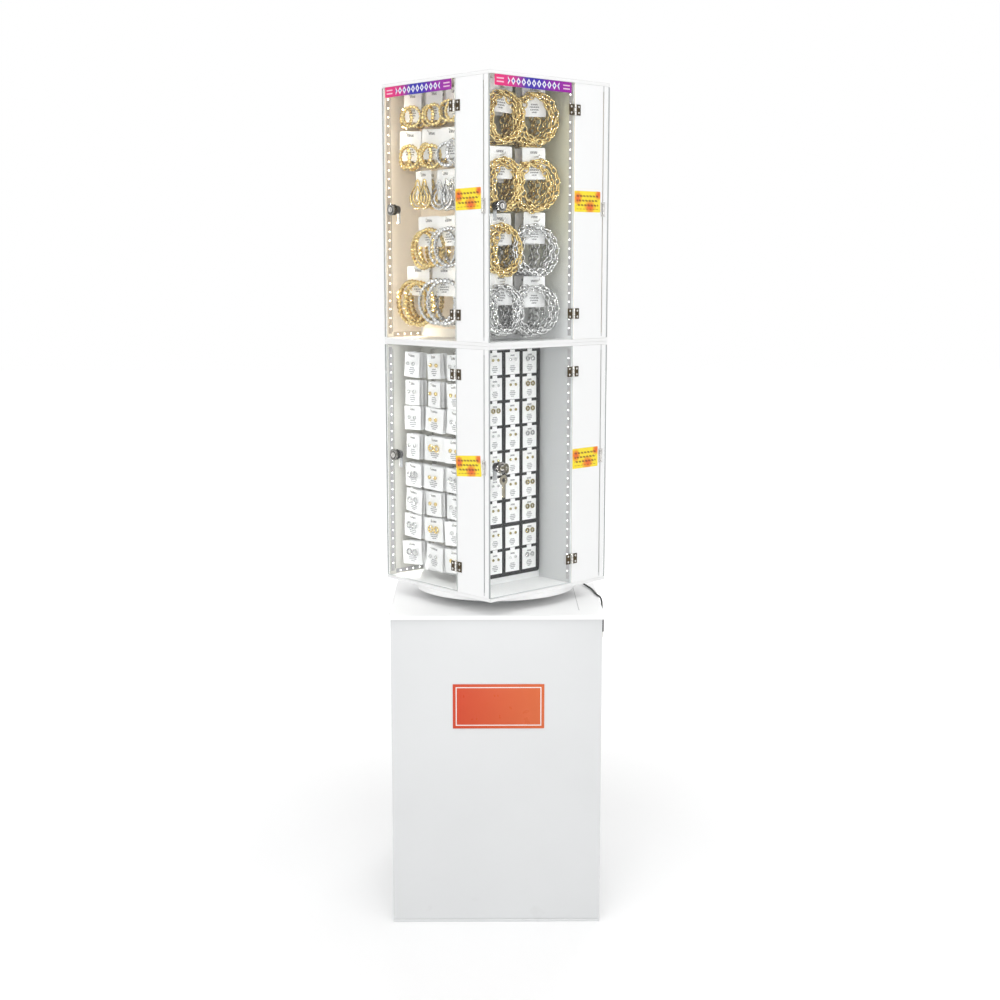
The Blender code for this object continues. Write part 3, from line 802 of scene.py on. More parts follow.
def buildDoors():
    moving, fixed = hingeLeaf(-1), hingeLeaf(1)
    housing, plug = lockHousing(), lockPlug()
    margin = case["board"] + door["clear"]
    for tier, (bottom, top) in tiers.items():
        for bay in bays:
            angle = bayAngle(bay)
            body = f"{tier}_door_{bay}_body"
            low = (-half, -half, bottom + margin)
            high = (hingeX - case["gap"], -half + case["pane"], top - margin)
            glass = paint(block(f"{tier}Pane{bay}", low, high, door["edge"]), pane)
            # cut edges in the pale painted light, end edges in the darker painted shade
            paintFaces(glass, litPaneEdge, lambda c, n: abs(n.y) < door["facing"])
            paintFaces(glass, shadedPaneEnd, facing("x", -1, door["facing"]))
            moved(glass, angle=angle)
            onBody(glass, body, "clear_acrylic", f"{tier}_door_{bay}")
            levels = (bottom + hinge["inset"], top - hinge["inset"])
            axis = (hingeX, -half - hinge["axisOut"])
            leaves = [moved(copyOf(moving, "leaf"), (*axis, level)) for level in levels]
            lockSpot = (-half + lock["in"], -half, bottom + lock["up"])
            leaves.append(moved(copyOf(housing, "housing"), lockSpot))
            fittings = moved(join(leaves, f"{tier}DoorFittings{bay}"), angle=angle)
            onBody(fittings, body, "bronze")
            pair = [moved(copyOf(fixed, "leaf"), (*axis, level)) for level in levels]
            hinges = moved(join(pair, f"{tier}Hinges{bay}"), angle=angle)
            onBody(hinges, "tower", "bronze", f"{tier}_hinge_{bay}_bottom", f"{tier}_hinge_{bay}_top")
            core = [moved(copyOf(plug, "plug"), lockSpot)]
            if (tier, bay) == ("lower", 1):
                core += standingKey(lockSpot)
                hangingKey(lockSpot, angle)
            turning = moved(join(core, f"{tier}Lock{bay}"), angle=angle)
            onBody(turning, f"{tier}_lock_{bay}_body", "nickel", f"{tier}_lock_{bay}")
    drop(moving, fixed, housing, plug)
    print("doors hung")


buildDoors()


# bright keeper beside each corner slot, where the cam goes in
keeper = {"near": 0.0118, "far": 0.0222, "tall": 0.027, "thick": 0.0012, "gap": 0.0003, "edge": 0.0004,
          "rim": 0.0030, "dish": 0.0008, "facing": 0.9}  # facing takes in the first step of the edge


def buildKeepers():
    plates = []
    outside = -half - keeper["gap"]
    for tier in tiers:
        level = tiers[tier][0] + lock["up"]
        for bay in bays:
            low = (outside - keeper["thick"], -half + keeper["near"], level - keeper["tall"] / 2)
            high = (outside, -half + keeper["far"], level + keeper["tall"] / 2)
            plate = block("keeper", low, high, keeper["edge"])
            pushFaces(plate, facing("x", -1, keeper["facing"]), keeper["rim"], (keeper["dish"], 0, 0))
            plates.append(moved(paint(plate, nickel), angle=bayAngle(bay)))
    onBody(join(plates, "slotKeepers"), "tower", "nickel")
    print("keepers set")


buildKeepers()


# printed trim and card finishes
badge = {"wide": 0.174, "tall": 0.087, "height": 0.4345, "mid": 0.004, "near": -0.2012, "far": -0.2002,
         "edge": 0.0003, "lineX": 0.0805, "lineZ": 0.0370, "line": 0.0009}
dots = {"held": 0.975, "cool": 280.0, "warm": 460.0}  # share of the glow kept from the camera, powers


cardMarks = {
    "dashes": (13.0, 9.0, 0.74),  # across, up, inked share
    "lines": [  # level, half height, half width
        (0.85, 0.038, 0.15), (0.38, 0.024, 0.15), (0.30, 0.024, 0.21), (0.22, 0.024, 0.18),
        (0.14, 0.024, 0.11),
    ],
}


def paperFinish():
    made = Finish("cardStock", ior=1.45)
    u, v = made.uv()
    fibre = made.noise(420.0, 3.0)
    marks = made.dashes(*cardMarks["dashes"])
    lines = sum((abs(v - up) < tall) * (abs(u - 0.5) < wide) for up, tall, wide in cardMarks["lines"])
    colour = made.blend(fibre, (0.92, 0.92, 0.915), (0.965, 0.965, 0.96))
    colour = made.blend(lines * marks * 0.90, colour, (0.14, 0.14, 0.15))
    return made.skin(colour, fibre, (0.42, 0.58), made.bump(fibre, 0.1, 0.0002))


stripMarks = {
    "stops": [
        (0.0, (0.84, 0.03, 0.17)), (0.22, (0.66, 0.03, 0.23)), (0.40, (0.03, 0.035, 0.40)),
        (0.58, (0.05, 0.03, 0.42)), (0.76, (0.26, 0.015, 0.36)), (1.0, (0.36, 0.02, 0.36)),
    ],
    "diamonds": 15.0, "level": 0.52, "squash": 1.15, "size": 0.42, "hole": 0.20, "run": 0.334,
    "bars": (0.43, 0.045, 0.16, 0.06),  # out from the middle, half width, up from it, half height
}


# a row of diamonds on a pink, blue and purple strip, with two bars at each end
def bannerFinish():
    made = Finish("printedStrip", ior=1.38)
    u, v = made.uv()
    colour = made.add("ShaderNodeValToRGB", {"stops": stripMarks["stops"]}, {0: u})
    ripple = made.noise(9.0, 3.0)
    colour = made.blend(made.spread(ripple, 0.45, 0.7) * 0.12, colour, (0.75, 0.15, 0.42))
    beads = (u * stripMarks["diamonds"]).part() - 0.5
    reach = abs(beads) + abs(v - stripMarks["level"]) * stripMarks["squash"]
    motif = (reach < stripMarks["size"]) * (abs(u - 0.5) < stripMarks["run"])
    hollow = reach < stripMarks["hole"]
    out, wide, up, tall = stripMarks["bars"]
    ends = (abs(abs(u - 0.5) - out) < wide) * (abs(abs(v - 0.5) - up) < tall)
    colour = made.blend(motif * 0.92, colour, (0.93, 0.92, 0.95))
    colour = made.blend(hollow * motif, colour, (0.10, 0.10, 0.50))
    colour = made.blend(ends * 0.8, colour, (0.95, 0.70, 0.82))
    return made.skin(colour, ripple, (0.22, 0.34))


stickerMarks = {
    "blots": ((0.13, 0.66, 0.15, 0.30), (0.60, 0.24, 0.20, 0.30), (0.93, 0.84, 0.13, 0.22)),  # middle, size
    "rows": 4.6, "rowHalf": 0.20, "field": (0.42, 0.37), "dashes": (8.0, 3.1, 0.70),
}


# yellow with red blots and rows of dashes
def stickerFinish():
    made = Finish("yellowSticker", ior=1.48)
    u, v = made.uv()
    blot = made.noise(95.0, 2.0)
    ragged = made.noise(190.0, 3.0) * 2.2 + 0.1
    patches = []
    for across, up, wide, tall in stickerMarks["blots"]:
        sideways, upward = (u - across) * (1 / wide), (v - up) * (1 / tall)
        reach = (sideways * sideways + upward * upward) * ragged
        patches.append(made.spread(reach, 1.7, 0.1))
    left, middle, right = patches
    wide, tall = stickerMarks["field"]
    rows = abs((v * stickerMarks["rows"]).part() - 0.5) < stickerMarks["rowHalf"]
    rows = rows * (abs(v - 0.5) < tall) * (abs(u - 0.5) < wide)
    marks = made.dashes(*stickerMarks["dashes"])
    colour = made.blend(blot, (0.96, 0.69, 0.018), (1.0, 0.86, 0.04))
    colour = made.blend(left.either(middle).either(right) * 0.92, colour, (0.84, 0.10, 0.02))
    colour = made.blend(rows * marks * 0.80, colour, (0.16, 0.04, 0.01))
    return made.skin(colour, blot, (0.30, 0.42))


# plain orange with a pale frame line
def badgeFinish():
    made = Finish("orangeBadge", ior=1.35)
    x, z = made.xyz(made.coords())[::2]
    x, z = x - badge["mid"], z - badge["height"]
    grain = made.noise(45.0, 3.0)
    slide = made.spread(x, -badge["wide"] / 2, badge["wide"] / 2)
    colour = made.blend(slide, (0.62, 0.065, 0.025), (0.69, 0.15, 0.05))
    thin = badge["line"]
    edgeX, edgeZ = abs(abs(x) - badge["lineX"]), abs(abs(z) - badge["lineZ"])
    line = (edgeX < thin) * (abs(z) < badge["lineZ"] + thin)
    line = line.either((edgeZ < thin) * (abs(x) < badge["lineX"] + thin))
    colour = made.blend(line * 0.95, colour, (0.93, 0.92, 0.90))
    colour = made.blend(grain * 0.06, colour, (0.5, 0.1, 0.05))
    return made.skin(colour, grain, (0.26, 0.36))


# a lit face lights its bay, and looks no brighter than a small lamp behind frosting
def dotFinish(name, warm, cool, power):
    made = Finish(name, colour=(0.95, 0.95, 0.95), rough=0.3, glowPower=power)
    tone = made.blend(made.noise(300.0, 2.0), warm, cool)
    seen = made.add("ShaderNodeLightPath", {}, {}, "Is Camera Ray")
    return made.feed(glow=made.blend(seen * dots["held"], tone, (0, 0, 0)))


paper = paperFinish()
bannerPrint = bannerFinish()
stickerPrint = stickerFinish()
badgePrint = badgeFinish()
dotLight = dotFinish("lightDot", (1.0, 0.97, 0.92), (0.96, 0.98, 1.0), dots["cool"])
warmLight = dotFinish("warmDot", (1.0, 0.84, 0.60), (1.0, 0.91, 0.74), dots["warm"])
tapeGrey = plainFinish("tapeGrey", (0.40, 0.39, 0.40), (0.54, 0.53, 0.54), (0.34, 0.46))
# a warm copy of the grey tape for the upper left bays: painted warm light
tapeWarmLit = plainFinish("tapeWarmLit", (0.42, 0.36, 0.30), (0.56, 0.49, 0.42), (0.34, 0.46))
dotCase = plainFinish("dotCase", (0.74, 0.74, 0.73), (0.82, 0.82, 0.81), (0.34, 0.46))


# a thin sheet facing the bay's front, lower edge at zero, with round corners, or square with a tab
def sheet(name, width, height, thick, corner, finish, tab=None):
    middle = (0, 0, height / 2)
    obj = added(name, bpy.ops.mesh.primitive_plane_add, size=1, location=middle, rotation=turns["y"])
    obj.scale = (width, height, 1)
    settle(obj)
    editFaces(obj, lambda c, n: True)
    if tab:
        reach, up = tab
        for side in (-1, 1):
            bpy.ops.mesh.select_all(action="SELECT")
            bpy.ops.mesh.bisect(plane_co=(side * reach, 0, 0), plane_no=(1, 0, 0))
        endEdit()

        def onTop(a, b):
            return min(a.z, b.z) > height - tolerance and max(abs(a.x), abs(b.x)) < reach + tolerance

        editEdges(obj, onTop)
        pull((0, 0, up))
    else:
        bpy.ops.mesh.bevel(offset=corner, segments=3, affect="VERTICES")
    endEdit()
    return paint(modified(obj, "SOLIDIFY", thickness=thick, offset=-1), finish)


# light tape: lit dots on a strip, 60 to the metre, on three edges of each bay
tape = {
    "wide": 0.008, "thick": 0.0005, "edge": 0.0001, "pitch": 1 / 60, "gap": 0.0003,
    "dot": 0.0015, "rim": 0.0003, "dotTall": 0.0011, "shoulder": 0.6,
    "ends": 0.013, "leftIn": 0.0105, "rightIn": 0.0100, "foot": 0.070, "footIn": 0.019, "footUp": 0.0120,
    "kinds": [("lower", bays, dotLight, tapeGrey), ("upper", rightBays, dotLight, tapeGrey),
              ("upper", leftBays, warmLight, tapeWarmLit)],
}


# a pale round case with a lit face that stands a little proud
def tapeDot(light):
    shoulder, face = (tape["thick"] + tape["dotTall"] * part for part in (tape["shoulder"], 1.0))
    dot = drum("dot", tape["dot"], "x", tape["thick"], shoulder, sides=12)
    pushFaces(dot, rightward, tape["rim"], (face - shoulder, 0, 0))
    return paintFaces(paint(dot, dotCase), light, lambda c, n: c.x > face - tolerance)


def tapeRun(dot, finish, length):
    wide, pitch = tape["wide"] / 2, tape["pitch"]
    strip = block("strip", (0, -wide, 0), (tape["thick"], wide, length), tape["edge"], 1)
    parts = [paint(strip, finish)]
    count = int(length / pitch)
    start = (length - (count - 1) * pitch) / 2
    for i in range(count):
        parts.append(moved(copyOf(dot, "dot"), (0, 0, start + i * pitch)))
    return join(parts, "tapeRun")


def buildTapes():
    leftX, rightX = -half + case["sheet"] + tape["gap"], rightWall - tape["gap"]
    for tier, group, light, finish in tape["kinds"]:
        bottom, top = tiers[tier]
        low = bottom + tape["ends"]
        dot = tapeDot(light)
        upright = tapeRun(dot, finish, top - bottom - 2 * tape["ends"])
        foot = tapeRun(dot, finish, tape["foot"])
        foot.rotation_euler = (-math.pi / 2, 0, 0)
        settle(foot)
        for bay in group:
            runs = [
                moved(copyOf(upright, "left"), (leftX, -half + tape["leftIn"], low)),
                moved(copyOf(upright, "right"), (rightX, -half + tape["rightIn"], low), math.pi),
                moved(copyOf(foot, "foot"), (leftX, -half + tape["footIn"], bottom + tape["footUp"])),
            ]
            piece = moved(join(runs, f"{tier}LightTape{bay}"), angle=bayAngle(bay))
            onBody(piece, "tower", "white_acrylic")
        drop(upright, foot, dot)
    print("light tape stuck")


buildTapes()


# printed strips, stickers and badge
trim = {  # strip and sticker: width, height, thickness, corner
    "strip": (0.194, 0.019, 0.0003, 0.0010), "stripLeft": 0.011, "stripDown": 0.0255, "stripOut": 0.0004,
    "sticker": (0.070, 0.039, 0.0002, 0.0015), "stickerMid": 0.250, "stickerOut": 0.0003,
    "stickerUp": {"lower": 0.232, "upper": 0.246}, "lean": 1.5, "crooked": {("lower", 4): -5.0},
}


def buildTrim():
    left, right = (badge["mid"] + side * badge["wide"] / 2 for side in (-1, 1))
    low, high = (badge["height"] + side * badge["tall"] / 2 for side in (-1, 1))
    plate = block("frontBadge", (left, badge["near"], low), (right, badge["far"], high), badge["edge"])
    onBody(paint(plate, badgePrint), "base", "white_laminate")
    strip = sheet("strip", *trim["strip"], bannerPrint)
    mid = -half + trim["stripLeft"] + trim["strip"][0] / 2
    spot = (mid, -half - trim["stripOut"], tiers["upper"][1] - trim["stripDown"])
    for bay in bays:
        piece = moved(moved(copyOf(strip, f"topStrip{bay}"), spot), angle=bayAngle(bay))
        onBody(piece, f"upper_door_{bay}_body", "clear_acrylic")
    label = sheet("label", *trim["sticker"], stickerPrint)
    labels = []
    for tier in tiers:
        level = tiers[tier][0] + trim["stickerUp"][tier]
        spot = (-half + trim["stickerMid"], -half - trim["stickerOut"], level)
        for bay in bays:
            lean = trim["crooked"].get((tier, bay)) or about(trim["lean"])
            one = copyOf(label, "label")
            one.rotation_euler = (0, math.radians(lean), 0)
            settle(one)
            labels.append(moved(moved(one, spot), angle=bayAngle(bay)))
    drop(strip, label)
    onBody(join(labels, "cornerStickers"), "tower", "white_acrylic")
    print("trim stuck")


buildTrim()


# stock on show: shapes modelled once, then hung bay by bay
stock = {
    "hook": 0.0014, "hookTip": (0, -0.0025, 0.0035), "backDepth": 0.0905,
    "hookPlate": (0.006, 0.0012, 0.009), "hookEdge": 0.0005,
    "link": (0.0071, 0.0021, 10, 5), "linkStretch": 0.70, "linkCount": 24,
    "linkTurns": (-28, 64), "linkLean": 9, "knuckleSwell": 0.60,
    "innerDrop": 0.62, "innerWire": 0.9, "dropSteps": ((0.35, 0.72), (0.75, 0.5)), "dropRise": 0.22,
    "studFlat": 0.7,
}


def hook(front):
    back = -half + stock["backDepth"]
    wide, thick, tall = stock["hookPlate"]
    wire = drum("hook", stock["hook"], "y", -half + front, back, sides=10)
    pushFaces(wire, frontward, 0.0, stock["hookTip"])
    plate = block("plate", (-wide, back - thick, -tall), (wide, back, tall), stock["hookEdge"])
    return join([paint(wire, nickel), paint(plate, nickel)], "hook")


# a hoop of oval links, every other one on edge
def chainHoop(radius):
    link = torus("link", *stock["link"])
    link.scale = (1, 1, stock["linkStretch"])
    settle(link)
    links = []
    for i in range(stock["linkCount"]):
        one = copyOf(link, "link")
        one.rotation_euler = (math.radians(stock["linkTurns"][i % 2]), math.radians(stock["linkLean"]), 0)
        settle(one)
        one = moved(one, (0, 0, radius))
        one.rotation_euler = (0, 2 * math.pi * i / stock["linkCount"], 0)
        links.append(settle(one))
    drop(link)
    return join(links, "chainHoop")


# a jointed hoop, thicker at its knuckles, with facets that glint
def knuckleHoop(radius, wire, knuckles):
    hoop = torus("hoop", radius, wire, knuckles * 3, 6)
    step = 2 * math.pi / knuckles
    editFaces(hoop, lambda c, n: abs((math.atan2(c.z, c.x) % step) - step / 2) < step / 6)
    bpy.ops.transform.shrink_fatten(value=wire * stock["knuckleSwell"])
    endEdit()
    bpy.ops.object.shade_flat()
    return hoop


# a drop: hoop drawn in at the top, with a smaller one inside
def dropHoop(radius, wire):
    inner = radius * stock["innerDrop"]
    parts = [torus("drop", radius, wire, 28, 6), torus("drop", inner, wire * stock["innerWire"], 24, 6)]
    for part, size in zip(parts, (radius, inner)):
        for level, narrow in stock["dropSteps"]:
            editFaces(part, lambda c, n: c.z > size * level)
            bpy.ops.transform.resize(value=(narrow, 1, 1), center_override=(0, 0, 0))
            bpy.ops.transform.translate(value=(0, 0, size * stock["dropRise"]))
            endEdit()
    return join(parts, "dropHoop")


def studShape(radius):
    stud = added("stud", bpy.ops.mesh.primitive_uv_sphere_add, segments=10, ring_count=6,
                 radius=radius, rotation=turns["y"])
    stud.scale = (1, 1, stock["studFlat"])
    settle(stud)
    bpy.ops.object.shade_smooth()
    return stud


def hang(shape, x, depth, z, yaw=0.0, lean=0.0, size=1.0):
    one = copyOf(shape, "hung")
    one.scale = (size, size, size)
    one.rotation_euler = (0, lean, yaw)
    settle(one)
    return moved(one, (-half + x, -half + depth, z))


def hangHook(peg, x, z):
    return moved(copyOf(peg, "peg"), (-half + x, 0, z))


# a bay's gold, silver and cards, each as one piece with its own name
def shelve(bay, metals, cards, names, yellow=gold):
    groups = ((metals["g"], yellow), (metals["s"], silver), (cards, None))
    for name, (parts, finish) in zip(names, groups):
        for part in parts:
            if finish:
                paint(part, finish)
        piece = moved(join(parts, f"{name}{bay}"), angle=bayAngle(bay))
        onBody(piece, "tower", "white_acrylic")


# upper right bays: bunches of chain hoops on header cards
chains = {
    "radius": 0.0425, "hookFront": 0.030, "hookUp": 0.0515,
    "card": (0.058, 0.058, 0.0005, 0.003),  # width, height, thickness, corner
    "cardDepths": (0.0415, 0.0640),
    "cardFoot": (0.002, 0.012), "cardYaw": 0.05, "cardLean": 0.06,
    "shift": 0.002, "low": (-0.006, 0.002), "swing": 0.08, "lean": (0, 0.24),
    "places": ((0.0630, 1), (0.1500, -1)),  # across the bay, and which way is inward
    "rows": [(0.4145, "gg"), (0.2945, "gg"), (0.1765, "gs"), (0.0650, "ss")],
    "bunch": [  # depth in the bay, inward, turn
        (0.0335, -0.005, -0.12), (0.0365, 0.007, -0.04), (0.0440, 0.018, 0.25), (0.0500, -0.003, -0.34),
        (0.0570, 0.010, 0.48), (0.0680, -0.004, -0.10), (0.0720, 0.015, 0.06),
    ],
}


def buildChainBays():
    hoop, peg = chainHoop(chains["radius"]), hook(chains["hookFront"])
    header = sheet("header", *chains["card"], paper)
    for bay in rightBays:
        metals, cards = {"g": [], "s": []}, []
        for level, kinds in chains["rows"]:
            z = tiers["upper"][0] + level
            for (u, inward), kind in zip(chains["places"], kinds):
                cards.append(hangHook(peg, u, z + chains["hookUp"]))
                for depth in chains["cardDepths"]:
                    foot = z + rng.uniform(*chains["cardFoot"])
                    yaw = about(chains["cardYaw"])
                    cards.append(hang(header, u, depth, foot, yaw, about(chains["cardLean"])))
                for depth, across, turn in chains["bunch"]:
                    x = u + inward * across + about(chains["shift"])
                    low = z + rng.uniform(*chains["low"])
                    yaw = turn + about(chains["swing"])
                    metals[kind].append(hang(hoop, x, depth, low, yaw, rng.uniform(*chains["lean"])))
        shelve(bay, metals, cards, ("chainGold", "chainSilver", "chainCards"))
    drop(hoop, peg, header)
    print("chain hoops hung")


# upper left bays: pairs of jointed hoops and drops
pairs = {
    "hoops": {"small": (0.0180, 0.0021, 16), "round": (0.0205, 0.0023, 18), "large": (0.0345, 0.0026, 28)},
    "drop": (0.0215, 0.0023), "hookFront": 0.026, "hookUp": 0.0135,
    "card": (0.056, 0.0005, 0.003), "cardDown": 0.036, "depths": (0.032, 0.052),
    "cardYaw": 0.1, "cardLean": 0.06, "front": 0.0055, "stagger": 0.004,
    "left": 0.010, "right": 0.203, "rightShare": 0.6,
    "apart": (0.42, 0.35), "apartLarge": (0.30, 0.20),  # share of the room across, swing
    "yaw": 0.10, "low": (-0.004, 0.003), "lean": (0, 0.5),
    "rows": [  # height, shape, size, drop below, room across, card width, metal and place of each pair
        (0.452, "small", 1.0, 0.0245, 0.026, 0.054, (("g", 0.052), ("g", 0.116), ("g", 0.176))),
        (0.380, "round", 1.0, 0.0274, 0.026, 0.062, (("g", 0.044), ("g", 0.108), ("s", 0.170))),
        (0.304, "drop", 1.0, 0.0295, 0.030, 0.046, (("g", 0.086), ("s", 0.150), ("s", 0.186))),
        (0.218, "large", 1.0, 0.0395, 0.040, 0.058, (("g", 0.101), ("s", 0.160))),
        (0.124, "large", 1.17, 0.0480, 0.045, 0.076, (("g", 0.066), ("s", 0.144))),
    ],
}


def buildPairBays():
    shapes = {kind: knuckleHoop(*sizes) for kind, sizes in pairs["hoops"].items()}
    shapes["drop"] = dropHoop(*pairs["drop"])
    peg = hook(pairs["hookFront"])
    for bay in leftBays:
        metals, cards = {"g": [], "s": []}, []
        for level, kind, size, below, across, cardWide, places in pairs["rows"]:
            z = tiers["upper"][0] + level
            share, swing = pairs["apartLarge" if kind == "large" else "apart"]
            least, most = pairs["left"] + across, pairs["right"] - across * pairs["rightShare"]
            card = sheet("card", cardWide, *pairs["card"], paper)
            for metal, u in places:
                cards.append(hangHook(peg, u, z + pairs["hookUp"]))
                for depth in pairs["depths"]:
                    lean = about(pairs["cardLean"])
                    cards.append(hang(card, u, depth, z - pairs["cardDown"], about(pairs["cardYaw"]), lean))
                    for side in (-1, 1):
                        x = min(max(u + side * across * share, least), most)
                        front = depth - pairs["front"] - pairs["stagger"] * (side > 0)
                        low = z - below + rng.uniform(*pairs["low"])
                        yaw = pairs["yaw"] + about(swing)
                        lean = 0 if kind == "drop" else rng.uniform(*pairs["lean"])
                        metals[metal].append(hang(shapes[kind], x, front, low, yaw, lean, size))
            drop(card)
        shelve(bay, metals, cards, ("pairGold", "pairSilver", "pairCards"))
    drop(peg, *shapes.values())
    print("pairs hung")


# lower left bays: small cards on hooks, three across and eight down
hung = {
    "cards": {"wide": (0.055, 0.047, 0.0005, 0.002), "slim": (0.040, 0.049, 0.0005, 0.002)},
    "stud": 0.0042, "loop": (0.0058, 0.0013, 8), "hookFront": 0.030, "hookDown": 0.006,
    "front": 0.0350, "layers": 3, "layer": 0.009,
    "pairSide": 0.0085, "pairFront": 0.0320, "pairDown": 0.0225,
    "shift": 0.003, "yaw": 0.12, "lean": 0.09, "layerYaw": 0.05, "places": (0.0405, 0.1065, 0.1690),
    "rows": [  # top, then left to right: gold or silver, studs or hoops, slim or wide card
        (0.4535, "sgs", "ooo", "sss"), (0.3985, "sgg", "ooo", "sss"), (0.3475, "sgs", "ooo", "www"),
        (0.2915, "sgg", "oho", "sww"), (0.2335, "sgs", "hoh", "www"), (0.1815, "sgs", "hoo", "www"),
        (0.1305, "sgs", "hho", "www"), (0.0755, "ssg", "hoo", "www"),
    ],
}


def buildCardBays():
    peg = hook(hung["hookFront"])
    sheets = {kind[0]: sheet(kind, *sizes, paper) for kind, sizes in hung["cards"].items()}
    heights = {kind[0]: sizes[1] for kind, sizes in hung["cards"].items()}
    shapes = {"o": studShape(hung["stud"]), "h": knuckleHoop(*hung["loop"])}
    for bay in leftBays:
        metals, cards = {"g": [], "s": []}, []
        for top, kinds, forms, widths in hung["rows"]:
            z = tiers["lower"][0] + top
            for place, metal, form, card in zip(hung["places"], kinds, forms, widths):
                u = place + about(hung["shift"])
                cards.append(hangHook(peg, u, z - hung["hookDown"]))
                yaw, lean = about(hung["yaw"]), about(hung["lean"])
                for layer in range(hung["layers"]):
                    depth = hung["front"] + hung["layer"] * layer
                    turn = yaw + about(hung["layerYaw"])
                    cards.append(hang(sheets[card], u, depth, z - heights[card], turn, lean))
                for side in (-1, 1):
                    spot = (u + side * hung["pairSide"], hung["pairFront"], z - hung["pairDown"])
                    metals[metal].append(hang(shapes[form], *spot, yaw))
        shelve(bay, metals, cards, ("cardStudsg", "cardStudss", "hungCards"))
    drop(peg, *sheets.values(), *shapes.values())
    print("cards hung")


# lower right bays: a card in every pocket of the rack
rack = {
    "left": 0.0156, "low": 0.0196, "pocket": (0.0416, 0.0444), "bar": 0.004, "border": 0.008,
    "columns": 4, "rows": 9, "front": 0.0862, "back": 0.0907, "sink": 0.0025, "corner": 0.006,
    "edge": 0.0003, "joint": 0.0085, "jointRow": 2, "jointIn": 0.001, "jointOut": 0.0009,
    "jointSunk": 0.0002, "jointEdge": 0.0004,
    "card": (0.0365, 0.0425, 0.0005, 0.0), "tab": (0.0060, 0.0052), "cardOut": 0.0008, "cardUp": 0.0004,
    "shift": 0.0008, "lean": 0.012,
    "stud": 0.0029, "loop": (0.0038, 0.0010, 8), "pairSide": 0.0068, "pairOut": 0.0022, "pairUp": 0.0285,
    "goldShare": 0.5, "loopShare": (0.15, 0.15, 0.15, 0.85),
}
stepX, stepZ = (size + rack["bar"] for size in rack["pocket"])


# moulded sheet: cut into cells, each cell pressed in behind its bars
def rackSheet(bottom):
    bar, columns, rows = rack["bar"], rack["columns"], rack["rows"]
    rim, face = rack["border"] - bar / 2, -half + rack["front"]
    left, low = -half + rack["left"] + rim, bottom + rack["low"] + rim
    right, top = left + columns * stepX, low + rows * stepZ
    body = block("rack", (left - rim, face, low - rim), (right + rim, -half + rack["back"], top + rim))
    editEdges(body, lambda a, b: abs(a.y - b.y) > tolerance)
    bpy.ops.mesh.bevel(offset=rack["corner"], segments=5)
    for i in range(columns + 1):
        bpy.ops.mesh.select_all(action="SELECT")
        bpy.ops.mesh.bisect(plane_co=(left + i * stepX, 0, 0), plane_no=(1, 0, 0))
    for i in range(rows + 1):
        bpy.ops.mesh.select_all(action="SELECT")
        bpy.ops.mesh.bisect(plane_co=(0, 0, low + i * stepZ), plane_no=(0, 0, 1))
    endEdit()
    editFaces(body, lambda c, n: frontward(c, n) and left < c.x < right and low < c.z < top)
    bpy.ops.mesh.inset(thickness=bar / 2, use_individual=True)
    pull((0, rack["sink"], 0))
    endEdit()
    middle, tall = low + rack["jointRow"] * stepZ, rack["joint"] / 2
    start = (left - rim + rack["jointIn"], face - rack["jointOut"], middle - tall)
    end = (right + rim - rack["jointIn"], face + rack["jointSunk"], middle + tall)
    strip = block("strip", start, end, rack["jointEdge"])
    parts = [soften(body, rack["edge"], 1), strip]
    return join([paint(part, blackPlastic) for part in parts], "rackSheet")


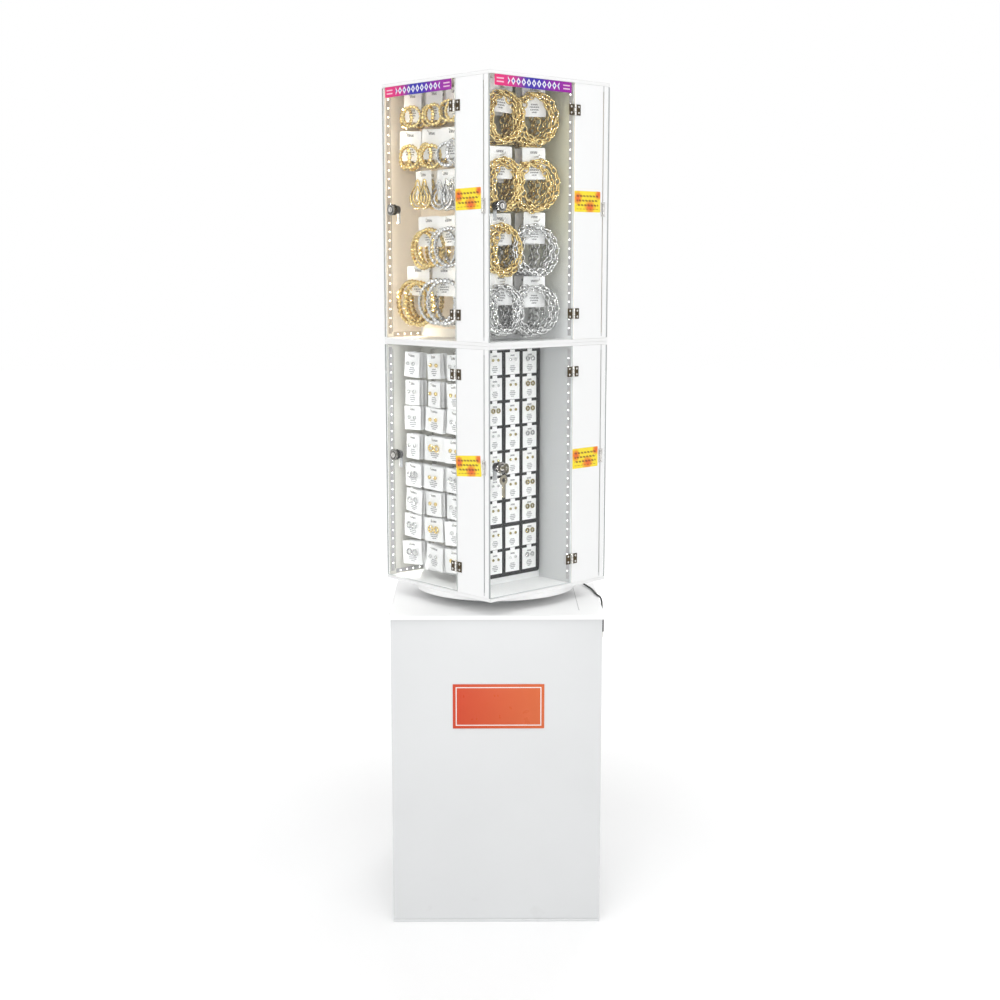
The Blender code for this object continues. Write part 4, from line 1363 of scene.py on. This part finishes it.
def buildRackCards():
    bottom = tiers["lower"][0]
    card = sheet("pocketCard", *rack["card"], paper, rack["tab"])
    stud, loop = studShape(rack["stud"]), knuckleHoop(*rack["loop"])
    body = rackSheet(bottom)
    front = rack["front"] - rack["cardOut"]
    firstU = rack["left"] + rack["border"] + rack["pocket"][0] / 2
    for bay in rightBays:
        holder = moved(copyOf(body, f"cardRack{bay}"), angle=bayAngle(bay))
        onBody(holder, "tower", "black_plastic", f"card_rack_{bay}")
        metals, cards = {"g": [], "s": []}, []
        for row in range(rack["rows"]):
            z = bottom + rack["low"] + rack["border"] + row * stepZ + rack["cardUp"]
            for column in range(rack["columns"]):
                u = firstU + column * stepX
                x = u + about(rack["shift"])
                cards.append(hang(card, x, front, z, 0.0, about(rack["lean"])))
                metal = "g" if rng.random() < rack["goldShare"] else "s"
                shape = loop if rng.random() < rack["loopShare"][column] else stud
                for side in (-1, 1):
                    spot = (u + side * rack["pairSide"], front - rack["pairOut"], z + rack["pairUp"])
                    metals[metal].append(hang(shape, *spot))
        shelve(bay, metals, cards, ("rackStudsg", "rackStudss", "rackCards"), oldGold)
    drop(card, stud, loop, body)
    print("rack filled")


buildChainBays()
buildPairBays()
buildCardBays()
buildRackCards()


# light: a pale surround and five soft lamps, in front, above, behind and to both sides
studio = {
    "floor": 30.0,
    "lamps": [  # name, place, aim, size, power
        ("keyLamp", (-1.9, -3.4, 3.3), (0, 0, 0.9), 2.6, 19.0),
        ("fillLamp", (2.8, -2.4, 2.2), (0, 0, 0.9), 2.2, 8.0),
        ("frontLamp", (-0.2, -3.8, 1.7), (0, 0, 1.0), 2.4, 30.0),
        ("backLamp", (0.6, 3.2, 3.0), (0, 0, 1.0), 2.4, 30.0),
        ("topLamp", (0.0, -1.3, 3.6), (0, -0.1, 0.6), 1.8, 25.0),
    ],
    "surround": 0.62,
    "lift": (0.10, 0.50),  # glow of the floor near the case and far off
    "liftReach": (0.5, 2.6),
}


def buildStudio():
    floor = added("studioFloor", bpy.ops.mesh.primitive_plane_add, size=studio["floor"])
    made = Finish("studioFloor", colour=(0.92, 0.92, 0.92), rough=0.7, glowPower=1.0)
    away = made.add("ShaderNodeVectorMath", {"operation": "LENGTH"}, {0: made.coords()}, "Value")
    lift = made.spread(away, *studio["liftReach"], *studio["lift"])
    made.feed(glow=made.blend(made.looked() * lift, (0, 0, 0), (1, 1, 1)))
    paint(floor, made)
    for name, place, aim, size, power in studio["lamps"]:
        data = bpy.data.lights.new(name, "AREA")
        data.size = size
        data.energy = power
        lamp = bpy.data.objects.new(name, data)
        lamp.location = place
        lamp.rotation_euler = (Vector(aim) - Vector(place)).to_track_quat("-Z", "Y").to_euler()
        bpy.context.scene.collection.objects.link(lamp)
    world = bpy.data.worlds.new("studioWorld")
    world.use_nodes = True
    bpy.context.scene.world = world
    sky = Nodes(world.node_tree)
    back = sky.tree.nodes["Background"]
    sky.plug(back.inputs["Color"], (1, 1, 1))
    sky.plug(back.inputs["Strength"], sky.looked() * (1 - studio["surround"]) + studio["surround"])
    print("studio lit")


buildStudio()
